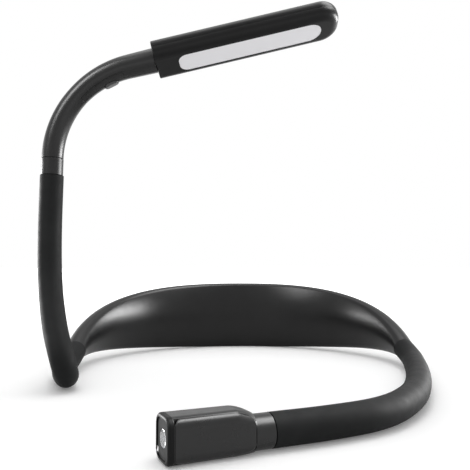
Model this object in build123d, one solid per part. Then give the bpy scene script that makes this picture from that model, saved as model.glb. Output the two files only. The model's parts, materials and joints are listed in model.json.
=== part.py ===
"""Hands-free reading light: a neck band, two gooseneck arms, a lamp head and a small torch.

Millimetres, +Z up. The light stands on the plane Z = 0 as it does on a table, the viewer
on the -Y side. It is laid out about the centre of the neck loop, then moved so that the
origin is the bottom centre of its box.
"""
from build123d import *
from math import cos, pi, radians, sin, tan
import os

# Shared fits
fit_clearance = 0.1          # each side, between pieces of one assembly
running_clearance = 0.06     # radial, where a piece turns or slides
seam_gap = 0.16              # visible seam between two shells
soft_clearance = 0.3         # a soft piece and its neighbour on another body
cut_overrun = 2.0

# Gooseneck arms
sleeve_diameter = 13.0
core_diameter = 9.0
core_bore = 6.0
cable_diameter = 2.2
arm_run_share = 0.45         # largest arc on the shorter run beside a corner
sleeve_height = sleeve_diameter / 2

# Neck band, a lens-shaped pad along an arc
band_radius = 106.0
band_right_span = 84.0       # degrees from the middle of the back
band_left_span = 90.0
band_end_thickness = 12.6
band_end_height = 13.0
band_middle_height = 51.0
band_middle_thickness = 14.0
band_end_drop = 13.4         # how much lower the band's ends run than its middle
band_drop_power = 3.6
band_fullness = 1.2          # above 1 the pad keeps its height further towards its ends
band_foot = 0.5              # depth of the flat that the pad rests on
band_tip_share = 0.2         # how much sharper the pad's edges get as it grows taller
band_section_count = 21
band_skin = 2.0
band_core_end_share = 0.84
band_centre_height = band_middle_height / 2 - band_foot

# Spring strip and crimps inside the band
spine_thickness = 0.8
spine_height = 12.0
spine_span = 52.0            # degrees each side of the middle
spine_offset = 2.0           # outward of the band's centreline
band_cable_offset = 2.2      # inward of the band's centreline
band_cable_shares = (-0.62, -0.42, -0.21, 0, 0.21, 0.42, 0.62)
crimp_length = 5.0
crimp_wall = 0.6
crimp_hole_clearance = 0.6
tail_clearance = 0.15        # round a gooseneck's tail
core_tail = 12.0             # length of a gooseneck inside the band's end
channel_clearance = 0.2      # round the cable through the pad
cable_gap = 0.9              # between two cable ends that are soldered together

# Lamp arm route, measured from the centre of the neck loop
arm_first_run = 15.0         # straight run of a sleeve out of the band's end
lamp_route = (
    (-104.6, -30.0, 6.5),
    (-100.4, -46.0, 6.5),
    (-94.6, -60.0, 6.5),
    (-93.0, -69.0, 11.2),
    (-95.2, -70.6, 21.0),
    (-101.0, -62.2, 33.0),
    (-107.2, -51.0, 56.0),
    (-108.9, -47.0, 84.0),
)
lamp_sleeve_top = (-108.1, -47.0, 116.5)
lamp_bend_lower_height = 43.0
lamp_bend_upper_height = 97.0

# Torch arm route on the table
torch_route = (
    (103.0, -22.0),
    (97.2, -47.0),
    (88.8, -76.0),
    (77.0, -107.4),
    (57.2, -137.0),
    (31.4, -152.0),
)
torch_sleeve_end = (8.0, -162.0)
torch_bend_side_run_count = 3    # runs before the one that bends, and the place on that one
torch_bend_side_share = 0.5
torch_bend_front_run_count = 6
torch_bend_front_share = 0.5

# Ferrule between the lamp arm's sleeve and the rigid arm
ferrule_diameter = 12.1
ferrule_length = 9.9
ferrule_socket = 5.5
ferrule_spigot = 4.0
ferrule_spigot_diameter = 8.6
ferrule_edge = 0.4

# Rigid curved arm
arm_start_diameter = 12.0
arm_end_diameter = 13.9
arm_wall = 1.5
arm_bend_radius = 55.3
arm_end_lean = 76.5          # degrees from upright at the head
arm_straight = 15.6
arm_flare_share = 0.45       # share of the bend after which the arm grows
arm_section_count = 13
arm_straight_section_count = 4
arm_cable_offset = 2.6
arm_cable_shares = (0.3, 0.45, 0.6, 0.75, 0.9)
cover_split_share = 0.62     # the cover's edge, as a share of the arm's radius below its axis
cover_start_lean = 42.0
cover_end_lean = 73.0

# Push button on the arm's underside
button_lean = 63.0
button_length = 8.6
button_width = 5.0
button_proud = 0.9
button_edge = 0.55
button_travel = 0.5
button_flange = 0.7
button_flange_thickness = 0.7
switch_size = 4.4
switch_body_height = 1.2
switch_plunger_diameter = 2.0
switch_plunger_height = 0.4
switch_board_length = 11.0
switch_board_width = 7.0
switch_board_thickness = 0.8

# Pivot that carries the head
pivot_plug_length = 8.0
pivot_plug_clearance = 0.2
pivot_stem_diameter = 6.4
pivot_bore = 4.0
pivot_flange_diameter = 8.4
pivot_flange_thickness = 1.4

# Lamp head
head_length = 106.7
head_width = 25.8
head_thickness = 12.4
head_edge_radius = 5.2
head_far_corner = 10.9
head_end_edge = 0.5
head_end_overrun = 12.0
head_wall = 1.6
head_end_wall = 2.4
head_roll = 16.0             # degrees the diffuser is turned to the viewer at rest
head_gap = 0.25
diffuser_width = 14.5
diffuser_start = 12.9
diffuser_end_margin = 11.0   # from the diffuser to the head's far end
diffuser_length = head_length - diffuser_start - diffuser_end_margin
diffuser_near_corner = 5.2
diffuser_far_corner = 7.2
diffuser_recess = 0.15
diffuser_flange = 0.8
diffuser_flange_thickness = 0.9
tray_height = 3.0
tray_wall = 1.0
led_board_width = 12.0
led_board_thickness = 1.0
led_length = 3.5
led_width = 2.8
led_height = 0.8
led_count = 12
head_rib_thickness = 1.4
head_rib_width = 10.0
head_rib_shares = (0.2, 0.5, 0.8)

# Torch box
pod_length = 33.0
pod_height = 16.2
pod_width = 14.8
pod_middle_width = 13.8
pod_corner = 4.0
pod_taper_start = 26.0
pod_shoulder_height = 14.0
pod_shoulder_width = 13.2
pod_shoulder_corner = 5.4
pod_neck_diameter = 12.9
pod_neck_length = 7.6
pod_neck_socket = 6.0
pod_neck_gap = 0.5
pod_heading = 24.0           # degrees, from the torch face to the neck
end_cap_thickness = 2.2
end_cap_recess = 0.5
end_cap_rim = 1.3
end_cap_edge = 1.1           # rounding of the cap's outer edge
pod_cover_inset = 0.5
pod_cover_thickness = 2.1
pod_cover_corner = 2.6
pod_cavity_inset = 2.6
pod_end_wall = 1.4
eyelet_length = 2.4
eyelet_width = 1.3
eyelet_inset = 1.9
eyelet_height = 3.2

# Torch optics
reflector_rim_diameter = 6.3
reflector_mouth_diameter = 5.2
reflector_throat_diameter = 2.4
reflector_rim_thickness = 1.1
reflector_depth = 4.6
reflector_wall = 0.4
torch_axis_height = 8.2
torch_lens_thickness = 0.6
torch_lens_diameter = 5.6
torch_led_diameter = 2.0
torch_led_height = 1.6
torch_board_size = 8.0
torch_board_thickness = 1.0

# Battery, control board, socket and torch switch
battery_length = 15.0
battery_height = 10.4
battery_thickness = 5.0
battery_start = 11.4
board_length = 17.0
board_height = 10.6
board_thickness = 1.0
board_start = 10.2
board_depth = 0.6            # from the box's middle plane to the board's front
socket_width = 8.9
socket_height = 3.3
socket_wall = 0.35
socket_corner = 1.5
socket_place = 23.6
socket_recess = 0.2
torch_button_diameter = 5.2
torch_button_place = 14.5
torch_button_proud = 0.8


def plane_at(point, direction, x_direction):
    """A plane whose normal is the direction."""
    return Plane(origin=point, x_dir=x_direction, z_dir=direction)


def polar(angle):
    """Unit vector in plan, from an angle in degrees off the X axis."""
    return Vector(cos(radians(angle)), sin(radians(angle)), 0)


def cylinder_along(start, direction, diameter, length):
    """A round bar from a point, along a direction."""
    base = Plane(origin=start, z_dir=direction)
    return extrude(base * Circle(diameter / 2), amount=length)


def route_radii(points):
    """Largest tangent arc at each corner of a route."""
    radii = []
    for before, corner, after in zip(points, points[1:], points[2:]):
        run_in = corner - before
        run_out = after - corner
        turn = radians(run_in.get_angle(run_out))
        shorter = min(run_in.length, run_out.length)
        radii.append(shorter * arm_run_share / tan(turn / 2))
    return radii


def route_wire(points):
    """Straight runs joined by tangent arcs."""
    radii = route_radii(points)
    print("arc radii", [round(radius, 1) for radius in radii])
    return FilletPolyline(*points, radius=radii).wire()


def bar_along_wire(wire, diameter):
    """A round bar swept along a route."""
    start = wire @ 0
    direction = wire % 0
    return sweep(Plane(origin=start, z_dir=direction) * Circle(diameter / 2), path=wire)


# Band geometry

def band_height_at(share):
    """Height of the pad's section, from its middle (0) to its end (1)."""
    growth = band_middle_height - band_end_height
    return band_end_height + growth * cos(pi / 2 * abs(share) ** band_fullness)


def band_thickness_at(share):
    """Thickness of the pad's section."""
    growth = band_middle_thickness - band_end_thickness
    return band_end_thickness + growth * cos(pi / 2 * abs(share))


def band_angle(share):
    """Plan angle of a share of the band: -1 is its left end, +1 its right end."""
    span = band_right_span if share > 0 else band_left_span
    return 90 - span * share


def band_point(share, outward=0):
    """A point beside the pad's centreline, and how far outward it lies."""
    place = polar(band_angle(share)) * (band_radius + outward)
    height = band_centre_height - band_end_drop * abs(share) ** band_drop_power
    return Vector(place.X, place.Y, height)


def band_direction(share):
    """Direction of the centreline, towards the right end."""
    span = band_right_span if share > 0 else band_left_span
    radial = polar(band_angle(share))
    along = Vector(radial.Y, -radial.X, 0) * (band_radius * radians(span))
    slope = band_end_drop * band_drop_power * abs(share) ** (band_drop_power - 1)
    falling = -slope if share > 0 else slope
    return Vector(along.X, along.Y, falling).normalized()


def core_tail_start(share):
    """Inner end of a gooseneck inside the band, in line with the band's end."""
    inward = -1 if share > 0 else 1
    return band_point(share) + band_direction(share) * (core_tail * inward)


def lens_section(wide, high):
    """An upright lens of four tangent arcs, from its half thickness and half height."""
    tip = wide - (high - wide) * band_tip_share
    flank = (wide ** 2 + (high - tip) ** 2 - tip ** 2) / (2 * (wide - tip))
    towards_tip = Vector(flank - wide, high - tip).normalized()
    x = towards_tip.X * tip
    y = high - tip + towards_tip.Y * tip
    outer = ThreePointArc((x, -y), (wide, 0), (x, y))
    top = ThreePointArc((x, y), (0, high), (-x, y))
    inner = ThreePointArc((-x, y), (-wide, 0), (-x, -y))
    bottom = ThreePointArc((-x, -y), (0, -high), (x, -y))
    return make_face([outer.edge(), top.edge(), inner.edge(), bottom.edge()])


def band_form(inset, end_share):
    """Loft through upright lens sections, inset all round, between two shares of the band."""
    sections = []
    half_count = (band_section_count - 1) // 2
    for index in range(-half_count, half_count + 1):
        share = end_share * index / half_count
        place = plane_at(band_point(share), band_direction(share), polar(band_angle(share)))
        wide = band_thickness_at(share) / 2 - inset
        high = band_height_at(share) / 2 - inset
        sections.append(place * lens_section(wide, high))
    form = loft(sections, ruled=True)
    below = Box(band_radius * 4, band_radius * 4, band_middle_height,
                align=(Align.CENTER, Align.CENTER, Align.MAX))
    return form - Pos(0, 0, inset) * below


def make_neck_cover():
    """Soft skin of the pad, solid at its two ends, cut flat where it rests."""
    skin = band_form(0, 1) - band_form(band_skin, band_core_end_share)
    skin -= band_cable(channel_clearance)
    return cut_band_fittings(skin)


def make_neck_core():
    """Foam core inside the skin, moulded round the spring strip and the cable."""
    core = band_form(band_skin + fit_clearance, band_core_end_share)
    core -= spine_strip(fit_clearance)
    return core - band_cable(channel_clearance)


def cut_band_fittings(pad):
    """The pad with room for the two gooseneck tails and their crimps."""
    for share in (-1, 1):
        inward = band_direction(share) * -share
        overrun = inward * -cut_overrun
        bore = core_diameter + tail_clearance * 2
        length = core_tail + cut_overrun + fit_clearance
        pad -= cylinder_along(band_point(share) + overrun, inward, bore, length)
        pad -= crimp_bar(share, fit_clearance)
    return pad


def spine_strip(grown=0):
    """Upright spring-steel strip, bent to the arc of the neck."""
    inner = band_radius + spine_offset - spine_thickness / 2 - grown
    outer = inner + spine_thickness + grown * 2
    height = spine_height + grown * 2
    start = 90 - spine_span
    face = make_ring_sector(inner, outer, start, spine_span * 2)
    bottom = band_centre_height - height / 2
    return Pos(0, 0, bottom) * extrude(face, amount=height)


def make_ring_sector(inner, outer, start, sweep_angle):
    """A flat sector of a ring in the XY plane."""
    inner_arc = CenterArc((0, 0), inner, start, sweep_angle)
    outer_arc = CenterArc((0, 0), outer, start, sweep_angle)
    near = Line(inner_arc @ 0, outer_arc @ 0)
    far = Line(inner_arc @ 1, outer_arc @ 1)
    return make_face([inner_arc.edge(), far.edge(), outer_arc.edge(), near.edge()])


def band_cable(grown=0):
    """Cable through the pad, from one gooseneck's bore to the other's."""
    points = [core_tail_start(-1)]
    points += [band_point(share, -band_cable_offset) for share in band_cable_shares]
    points.append(core_tail_start(1))
    wire = route_wire(points)
    return bar_along_wire(wire, cable_diameter + grown * 2)


def crimp_bar(share, grown=0):
    """Outside of the crimp that closes a gooseneck's inner end."""
    inward = band_direction(share) * -share
    start = core_tail_start(share) - inward * (crimp_length - crimp_wall)
    diameter = core_diameter + crimp_wall * 2 + grown * 2
    return cylinder_along(start - inward * grown, inward, diameter, crimp_length + grown * 2)


def make_crimp(share):
    """Crimped cup on a gooseneck's inner end, with a hole for the cable."""
    inward = band_direction(share) * -share
    end = core_tail_start(share)
    cup = crimp_bar(share)
    socket = core_diameter + fit_clearance * 2
    cup -= cylinder_along(end + inward * fit_clearance, inward * -1, socket, crimp_length)
    hole = cable_diameter + crimp_hole_clearance * 2
    cup -= cylinder_along(end - inward * cut_overrun, inward, hole, cut_overrun * 2)
    return cup


# Arm routes

def first_points(share):
    """Start of a sleeve: out of the band's end, in line with it."""
    outward = band_direction(share) * share
    return [band_point(share), band_point(share) + outward * arm_first_run]


def lamp_points():
    """Lamp arm, from the band's left end down to the table and up."""
    points = first_points(-1)
    points += [Vector(*place) for place in lamp_route]
    points.append(Vector(*lamp_sleeve_top))
    return points


def torch_points():
    """Torch arm, from the band's right end round the front to the torch box."""
    points = first_points(1)
    points += [Vector(x, y, sleeve_height) for x, y in torch_route]
    points.append(Vector(*torch_sleeve_end, sleeve_height))
    return points


def arm_bars(points, diameter, tail_direction, tail, nose):
    """A round bar along an arm, with a straight tail in the band and a nose beyond its end."""
    wire = route_wire(points)
    bar = bar_along_wire(wire, diameter)
    if tail:
        bar += cylinder_along(points[0], tail_direction, diameter, tail)
    if nose:
        bar += cylinder_along(points[-1], points[-1] - points[-2], diameter, nose)
    return bar


def make_arm_pieces(points, share, nose):
    """Sleeve, gooseneck and cable of one arm."""
    inward = band_direction(share) * -share
    bore = core_diameter + fit_clearance * 2
    sleeve = arm_bars(points, sleeve_diameter, inward, 0, 0)
    sleeve -= arm_bars(points, bore, inward, cut_overrun, cut_overrun)
    core = arm_bars(points, core_diameter, inward, core_tail, nose)
    core -= arm_bars(points, core_bore, inward, core_tail + cut_overrun, nose + cut_overrun)
    cable = arm_bars(points, cable_diameter, inward, core_tail - cable_gap, nose)
    return sleeve, core, cable


def split_by(solid, plane):
    """The two halves of a solid, the one on the plane's normal side first."""
    above = split(solid, bisect_by=plane, keep=Keep.TOP)
    below = split(solid, bisect_by=plane, keep=Keep.BOTTOM)
    return above, below


def lamp_point_at(height):
    """Point of the lamp arm's centreline at a height on its upright."""
    points = lamp_points()
    for low, high in zip(points[2:], points[3:]):
        if low.Z <= height <= high.Z:
            share = (height - low.Z) / (high.Z - low.Z)
            return low + (high - low) * share
    return points[-1]


# Ferrule and rigid arm

def ferrule_axis():
    """Direction in which the lamp arm's sleeve ends."""
    points = lamp_points()
    return (points[-1] - points[-2]).normalized()


def ferrule_top():
    """Middle of the seam between the ferrule and the rigid arm."""
    return lamp_points()[-1] + ferrule_axis() * ferrule_length


def make_ferrule():
    """Turned ring: a socket for the gooseneck below, a spigot for the rigid arm above."""
    axis = ferrule_axis()
    base = lamp_points()[-1]
    ring = cylinder_along(base, axis, ferrule_diameter, ferrule_length)
    ring = chamfer(ring.edges().filter_by(GeomType.CIRCLE), ferrule_edge)
    ring += cylinder_along(ferrule_top(), axis, ferrule_spigot_diameter, ferrule_spigot)
    socket = core_diameter + fit_clearance * 2
    ring -= cylinder_along(base - axis * cut_overrun, axis, socket, ferrule_socket + cut_overrun)
    ring -= cylinder_along(base, axis, core_bore, ferrule_length + ferrule_spigot + cut_overrun)
    return ring


def arm_start_lean():
    """Degrees that the ferrule leans from upright."""
    return ferrule_axis().get_angle(Vector(0, 0, 1))


def arm_centre():
    """Centre of the rigid arm's bend."""
    lean = radians(arm_start_lean())
    return ferrule_top() + Vector(cos(lean), 0, -sin(lean)) * arm_bend_radius


def arm_point(lean, radius=arm_bend_radius):
    """A point on the bend, by the lean of the arm there."""
    angle = radians(lean)
    return arm_centre() + Vector(-cos(angle), 0, sin(angle)) * radius


def arm_direction(lean):
    """Direction of the arm where it leans by an angle."""
    return Vector(sin(radians(lean)), 0, cos(radians(lean)))


def arm_end():
    """End of the rigid arm, at the head."""
    return arm_point(arm_end_lean) + arm_direction(arm_end_lean) * arm_straight


def arm_diameter_at(share):
    """Outer diameter along the arm, which grows towards the head."""
    growth = max(share - arm_flare_share, 0) / (1 - arm_flare_share)
    return arm_start_diameter + (arm_end_diameter - arm_start_diameter) * growth


def arm_stations():
    """Stations along the rigid arm: point, direction and share of its length."""
    start = arm_start_lean()
    bend = radians(arm_end_lean - start) * arm_bend_radius
    whole = bend + arm_straight
    stations = []
    for index in range(arm_section_count):
        share = index / (arm_section_count - 1)
        lean = start + (arm_end_lean - start) * share
        stations.append((arm_point(lean), arm_direction(lean), share * bend / whole))
    along = arm_direction(arm_end_lean)
    for index in range(arm_straight_section_count):
        run = arm_straight * (index + 1) / arm_straight_section_count
        stations.append((arm_point(arm_end_lean) + along * run, along, (bend + run) / whole))
    return stations


def arm_body(inset=0):
    """The arm's outer body, or its bore where it is inset by the wall."""
    sections = []
    for point, direction, share in arm_stations():
        place = plane_at(point, direction, Vector(0, 1, 0))
        sections.append(place * Circle(arm_diameter_at(share) / 2 - inset))
    body = loft(sections, ruled=True)
    if inset:
        start_bore = arm_start_diameter - inset * 2
        end_bore = arm_end_diameter - inset * 2
        body += cylinder_along(ferrule_top(), ferrule_axis() * -1, start_bore, cut_overrun)
        body += cylinder_along(arm_end(), arm_direction(arm_end_lean), end_bore, cut_overrun)
    return body


def cover_region(grown=0):
    """Space of the underside cover: a curved slab across the arm."""
    split_radius = arm_bend_radius - cover_split_share * arm_start_diameter / 2 + grown
    inner = arm_bend_radius - arm_end_diameter
    margin = grown / arm_bend_radius * 180 / pi
    start = 180 - cover_end_lean - margin
    swept = cover_end_lean - cover_start_lean + margin * 2
    sector = make_ring_sector(inner, split_radius, start, swept)
    upright = Plane(origin=arm_centre(), x_dir=(1, 0, 0), z_dir=(0, -1, 0))
    return extrude(upright * sector, amount=arm_end_diameter, both=True)


def button_plane():
    """Plane on the arm's axis under the button, its normal pointing out of the underside."""
    outward = (arm_centre() - arm_point(button_lean)).normalized()
    return Plane(origin=arm_point(button_lean), x_dir=arm_direction(button_lean), z_dir=outward)


def button_surface():
    """Distance from the arm's axis to its surface at the button."""
    start = arm_start_lean()
    bend = radians(arm_end_lean - start) * arm_bend_radius
    along = radians(button_lean - start) * arm_bend_radius
    return arm_diameter_at(along / (bend + arm_straight)) / 2


def button_prism(grown, bottom, top):
    """An obround column through the arm's wall, from one distance off the axis to another."""
    outline = SlotOverall(button_length + grown * 2, button_width + grown * 2)
    place = button_plane().offset(bottom)
    return extrude(place * outline, amount=top - bottom)


def make_arm_wall():
    """The arm's hollow wall before its cover is cut out."""
    return arm_body() - arm_body(arm_wall)


def make_arm_shell(wall):
    """Upper part of the rigid arm, open below for the cover."""
    return wall - cover_region(seam_gap / 2)


def make_arm_cover(wall):
    """Curved strip that closes the arm's underside, with the button's hole."""
    cover = wall & cover_region(-seam_gap / 2)
    return cover - button_prism(running_clearance * 2, 0, arm_end_diameter)


def make_lamp_button():
    """Push button: an obround cap with a flange behind the cover."""
    surface = button_surface()
    cap = button_prism(0, surface - arm_wall - button_travel, surface + button_proud)
    top_edges = cap.edges().filter_by_position(Axis(button_plane().origin, button_plane().z_dir),
                                               surface + button_proud / 2, surface + button_proud * 2)
    cap = fillet(top_edges, button_edge)
    flange_top = flange_level()
    flange = button_prism(0, flange_top - button_flange_thickness, flange_top)
    return cap + flange


def flange_level():
    """Top of the button's inner pad, clear of the cover's curved inside."""
    return button_surface() - arm_wall - button_travel


def switch_top():
    """Level of the switch's plunger, under the button's pad."""
    return flange_level() - button_flange_thickness - button_travel - fit_clearance


def make_lamp_switch():
    """Small push switch with a round plunger."""
    top = switch_top()
    body_top = top - switch_plunger_height
    place = button_plane().offset(body_top - switch_body_height)
    body = extrude(place * Rectangle(switch_size, switch_size), amount=switch_body_height)
    place = button_plane().offset(body_top)
    return body + extrude(place * Circle(switch_plunger_diameter / 2), amount=switch_plunger_height)


def make_lamp_switch_board():
    """Board that carries the switch."""
    top = switch_top() - switch_plunger_height - switch_body_height
    place = button_plane().offset(top - switch_board_thickness)
    return extrude(place * Rectangle(switch_board_length, switch_board_width),
                   amount=switch_board_thickness)


def make_arm_cable():
    """Cable through the rigid arm, beside its axis on the outer side."""
    radius = arm_bend_radius + arm_cable_offset
    start = arm_start_lean()
    entry = ferrule_top() + ferrule_axis() * ferrule_spigot
    points = [entry]
    leans = [start + (arm_end_lean - start) * share for share in arm_cable_shares]
    points += [arm_point(lean, radius) for lean in leans]
    points.append(arm_end() - arm_direction(arm_end_lean) * pivot_plug_length)
    points.append(arm_end() + arm_direction(arm_end_lean) * (head_gap + head_end_wall))
    wire = route_wire(points)
    return bar_along_wire(wire, cable_diameter)


def make_head_pivot():
    """Turned pivot: a plug in the arm, a stem through the head's wall and a retaining flange."""
    axis = arm_direction(arm_end_lean)
    plug_start = arm_end() - axis * pivot_plug_length
    plug_diameter = arm_end_diameter - (arm_wall + pivot_plug_clearance) * 2
    stem_length = head_gap + head_end_wall + running_clearance
    pivot = cylinder_along(plug_start, axis, plug_diameter, pivot_plug_length)
    pivot += cylinder_along(arm_end(), axis, pivot_stem_diameter, stem_length)
    flange_start = arm_end() + axis * stem_length
    pivot += cylinder_along(flange_start, axis, pivot_flange_diameter, pivot_flange_thickness)
    whole = pivot_plug_length + stem_length + pivot_flange_thickness
    bore_start = plug_start - axis * cut_overrun
    return pivot - cylinder_along(bore_start, axis, pivot_bore, whole + cut_overrun * 2)


# Lamp head, built along +X from its near end, its underside at Z = 0

def head_plane():
    """The head's own plane: X along it, Z out of its back."""
    along = arm_direction(arm_end_lean)
    upright = Vector(-along.Z, 0, along.X)
    back = upright * cos(radians(head_roll)) + Vector(0, 1, 0) * sin(radians(head_roll))
    start = arm_end() + along * head_gap
    return Plane(origin=start - back * (head_thickness / 2), x_dir=along, z_dir=back)


def rounded_outline(length, width, near_corner, far_corner):
    """A bar outline from X = 0 with its own corner radius at each end."""
    half = width / 2
    near = near_corner
    far = far_corner
    with BuildLine() as outline:
        Line((near, -half), (length - far, -half))
        RadiusArc((length - far, -half), (length, -half + far), -far)
        Line((length, -half + far), (length, half - far))
        RadiusArc((length, half - far), (length - far, half), -far)
        Line((length - far, half), (near, half))
        RadiusArc((near, half), (0, half - near), -near)
        Line((0, half - near), (0, -half + near))
        RadiusArc((0, -half + near), (near, -half), -near)
    return make_face(outline.line)


def head_body(inset, near_wall):
    """The head's rounded form, inset all round and cut off square at its near end."""
    length = head_length + head_end_overrun - inset
    width = head_width - inset * 2
    outline = rounded_outline(length, width, head_end_edge, head_far_corner - inset)
    thickness = head_thickness - inset * 2
    body = Pos(-head_end_overrun, 0, inset) * extrude(outline, amount=thickness)
    edges = body.edges().filter_by_position(Axis.Z, inset - fit_clearance, inset + fit_clearance)
    top = head_thickness - inset
    edges += body.edges().filter_by_position(Axis.Z, top - fit_clearance, top + fit_clearance)
    body = fillet(edges, head_edge_radius - inset)
    beyond = Box(head_length, head_width * 2, head_thickness * 4,
                 align=(Align.MAX, Align.CENTER, Align.CENTER))
    return body - Pos(near_wall, 0, 0) * beyond


def diffuser_outline(grown):
    """Window of the diffuser, grown or shrunk all round."""
    outline = rounded_outline(diffuser_length + grown * 2, diffuser_width + grown * 2,
                              diffuser_near_corner + grown, diffuser_far_corner + grown)
    return Pos(diffuser_start - grown, 0, 0) * outline


def make_head_halves():
    """Top and bottom casings, parted at the middle of the head's thickness."""
    body = head_body(0, 0)
    end_edges = body.edges().filter_by_position(Axis.X, -fit_clearance, fit_clearance)
    shell = fillet(end_edges, head_end_edge) - head_body(head_wall, head_end_wall)
    axis_height = head_thickness / 2
    stem_hole = pivot_stem_diameter + running_clearance * 2
    start = Vector(-cut_overrun, 0, axis_height)
    shell -= cylinder_along(start, Vector(1, 0, 0), stem_hole, head_end_wall + cut_overrun * 2)
    above = Pos(0, 0, axis_height + seam_gap / 2) * lower_aligned_box(head_thickness)
    below = Pos(0, 0, axis_height - seam_gap / 2) * upper_aligned_box(head_thickness)
    top = (shell & above) + head_ribs()
    bottom = shell & below
    bottom -= Pos(0, 0, -cut_overrun) * extrude(diffuser_outline(0), amount=head_wall + cut_overrun * 2)
    return top, bottom


def lower_aligned_box(height):
    """A block that covers the head's plan, standing on Z = 0."""
    return Box(head_length * 3, head_width * 2, height, align=(Align.CENTER, Align.CENTER, Align.MIN))


def upper_aligned_box(height):
    """A block that covers the head's plan, hanging from Z = 0."""
    return Box(head_length * 3, head_width * 2, height, align=(Align.CENTER, Align.CENTER, Align.MAX))


def led_board_bottom():
    """Underside of the lamp's circuit board."""
    return tray_bottom() + tray_height


def tray_bottom():
    """Underside of the reflector tray, on the diffuser's flange."""
    return head_wall + fit_clearance + diffuser_flange_thickness


def head_ribs():
    """Cross ribs that hold the circuit board down."""
    top = head_thickness - head_wall / 2
    bottom = led_board_bottom() + led_board_thickness
    height = top - bottom
    ribs = []
    for share in head_rib_shares:
        place = diffuser_start + diffuser_length * share
        rib = Box(head_rib_thickness, head_rib_width, height, align=(Align.CENTER, Align.CENTER, Align.MIN))
        ribs.append(Pos(place, 0, bottom) * rib)
    return ribs


def make_diffuser():
    """Frosted plate that fills the window and is held by a flange inside."""
    top = head_wall + fit_clearance
    plate = Pos(0, 0, diffuser_recess) * extrude(diffuser_outline(-fit_clearance),
                                                 amount=top - diffuser_recess)
    flange = Pos(0, 0, top) * extrude(diffuser_outline(diffuser_flange),
                                      amount=diffuser_flange_thickness)
    return plate + flange


def make_tray():
    """White reflector frame between the diffuser and the circuit board."""
    outer = extrude(diffuser_outline(diffuser_flange), amount=tray_height)
    inner = extrude(diffuser_outline(diffuser_flange - tray_wall), amount=tray_height)
    return Pos(0, 0, tray_bottom()) * (outer - inner)


def make_led_board():
    """Long circuit board of the lamp."""
    board = Box(diffuser_length, led_board_width, led_board_thickness,
                align=(Align.MIN, Align.CENTER, Align.MIN))
    return Pos(diffuser_start, 0, led_board_bottom()) * board


def make_leds():
    """Row of light-emitting chips under the board."""
    pitch = diffuser_length / led_count
    chips = []
    for index in range(led_count):
        chip = Box(led_length, led_width, led_height, align=(Align.CENTER, Align.CENTER, Align.MAX))
        place = diffuser_start + pitch * index + pitch / 2
        chips.append(Pos(place, 0, led_board_bottom()) * chip)
    return Compound(children=chips)


# Torch box, built along +X from its torch face to its neck, resting on Z = 0

def pod_plane():
    """The torch box's own plane, under the torch face."""
    along = polar(pod_heading)
    neck_end = Vector(*torch_sleeve_end, 0)
    start = neck_end - along * (pod_length + pod_neck_length + pod_neck_gap)
    return Plane(origin=start, x_dir=along, z_dir=(0, 0, 1))


def pod_section(height, width, corner, place):
    """Upright rounded section of the box, standing on Z = 0."""
    across = Plane(origin=(place, 0, height / 2), x_dir=(0, 1, 0), z_dir=(1, 0, 0))
    return across * RectangleRounded(width, height, corner)


def pod_body():
    """The box's outer form: a long part and a shoulder that draws in to the neck."""
    front = pod_section(pod_height, pod_width, pod_corner, 0)
    wide = pod_section(pod_height, pod_middle_width, pod_corner, pod_taper_start)
    straight = loft([front, wide], ruled=True)
    middle_place = (pod_taper_start + pod_length) / 2
    middle = pod_section((pod_height * 2 + pod_shoulder_height) / 3,
                         (pod_middle_width * 2 + pod_shoulder_width) / 3,
                         (pod_corner * 2 + pod_shoulder_corner) / 3, middle_place)
    narrow = pod_section(pod_shoulder_height, pod_shoulder_width, pod_shoulder_corner, pod_length)
    return straight + loft([wide, middle, narrow])


def pod_side_outline(inset):
    """The box's outline seen from its side, inset all round, behind the end cap."""
    start = end_cap_thickness + seam_gap
    top = pod_height - inset
    shoulder = pod_shoulder_height - inset
    end = pod_length - inset / 2
    with BuildLine() as outline:
        Line((start, inset), (end, inset))
        Line((end, inset), (end, shoulder))
        Line((end, shoulder), (pod_taper_start, top))
        Line((pod_taper_start, top), (start, top))
        Line((start, top), (start, inset))
    return make_face(outline.line)


def pod_side_block(inset, near_side, far_side):
    """That outline as a block between two distances from the box's middle plane."""
    upright = Plane(origin=(0, near_side, 0), x_dir=(1, 0, 0), z_dir=(0, 1, 0))
    face = Plane(upright.origin, x_dir=(1, 0, 0), z_dir=(0, -1, 0)) * pod_side_outline(inset)
    return extrude(face, amount=near_side - far_side)


def pod_side_at(place):
    """Distance from the box's middle plane to its side."""
    share = place / pod_taper_start
    return (pod_width + (pod_middle_width - pod_width) * share) / 2


def cover_block(side, grown):
    """Space of one side cover."""
    inner = pod_width / 2 - pod_cover_thickness - grown
    outer = pod_width
    inset = pod_cover_inset - grown
    if side > 0:
        return pod_side_block(inset, outer, inner)
    return pod_side_block(inset, -inner, -outer)


def torch_bore(diameter, start, length):
    """A round space on the torch's axis."""
    return cylinder_along(Vector(start, 0, torch_axis_height), Vector(1, 0, 0), diameter, length)


def neck_axis_start():
    """Middle of the neck's start, in line with the sleeve."""
    return Vector(pod_length, 0, sleeve_height)


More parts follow.
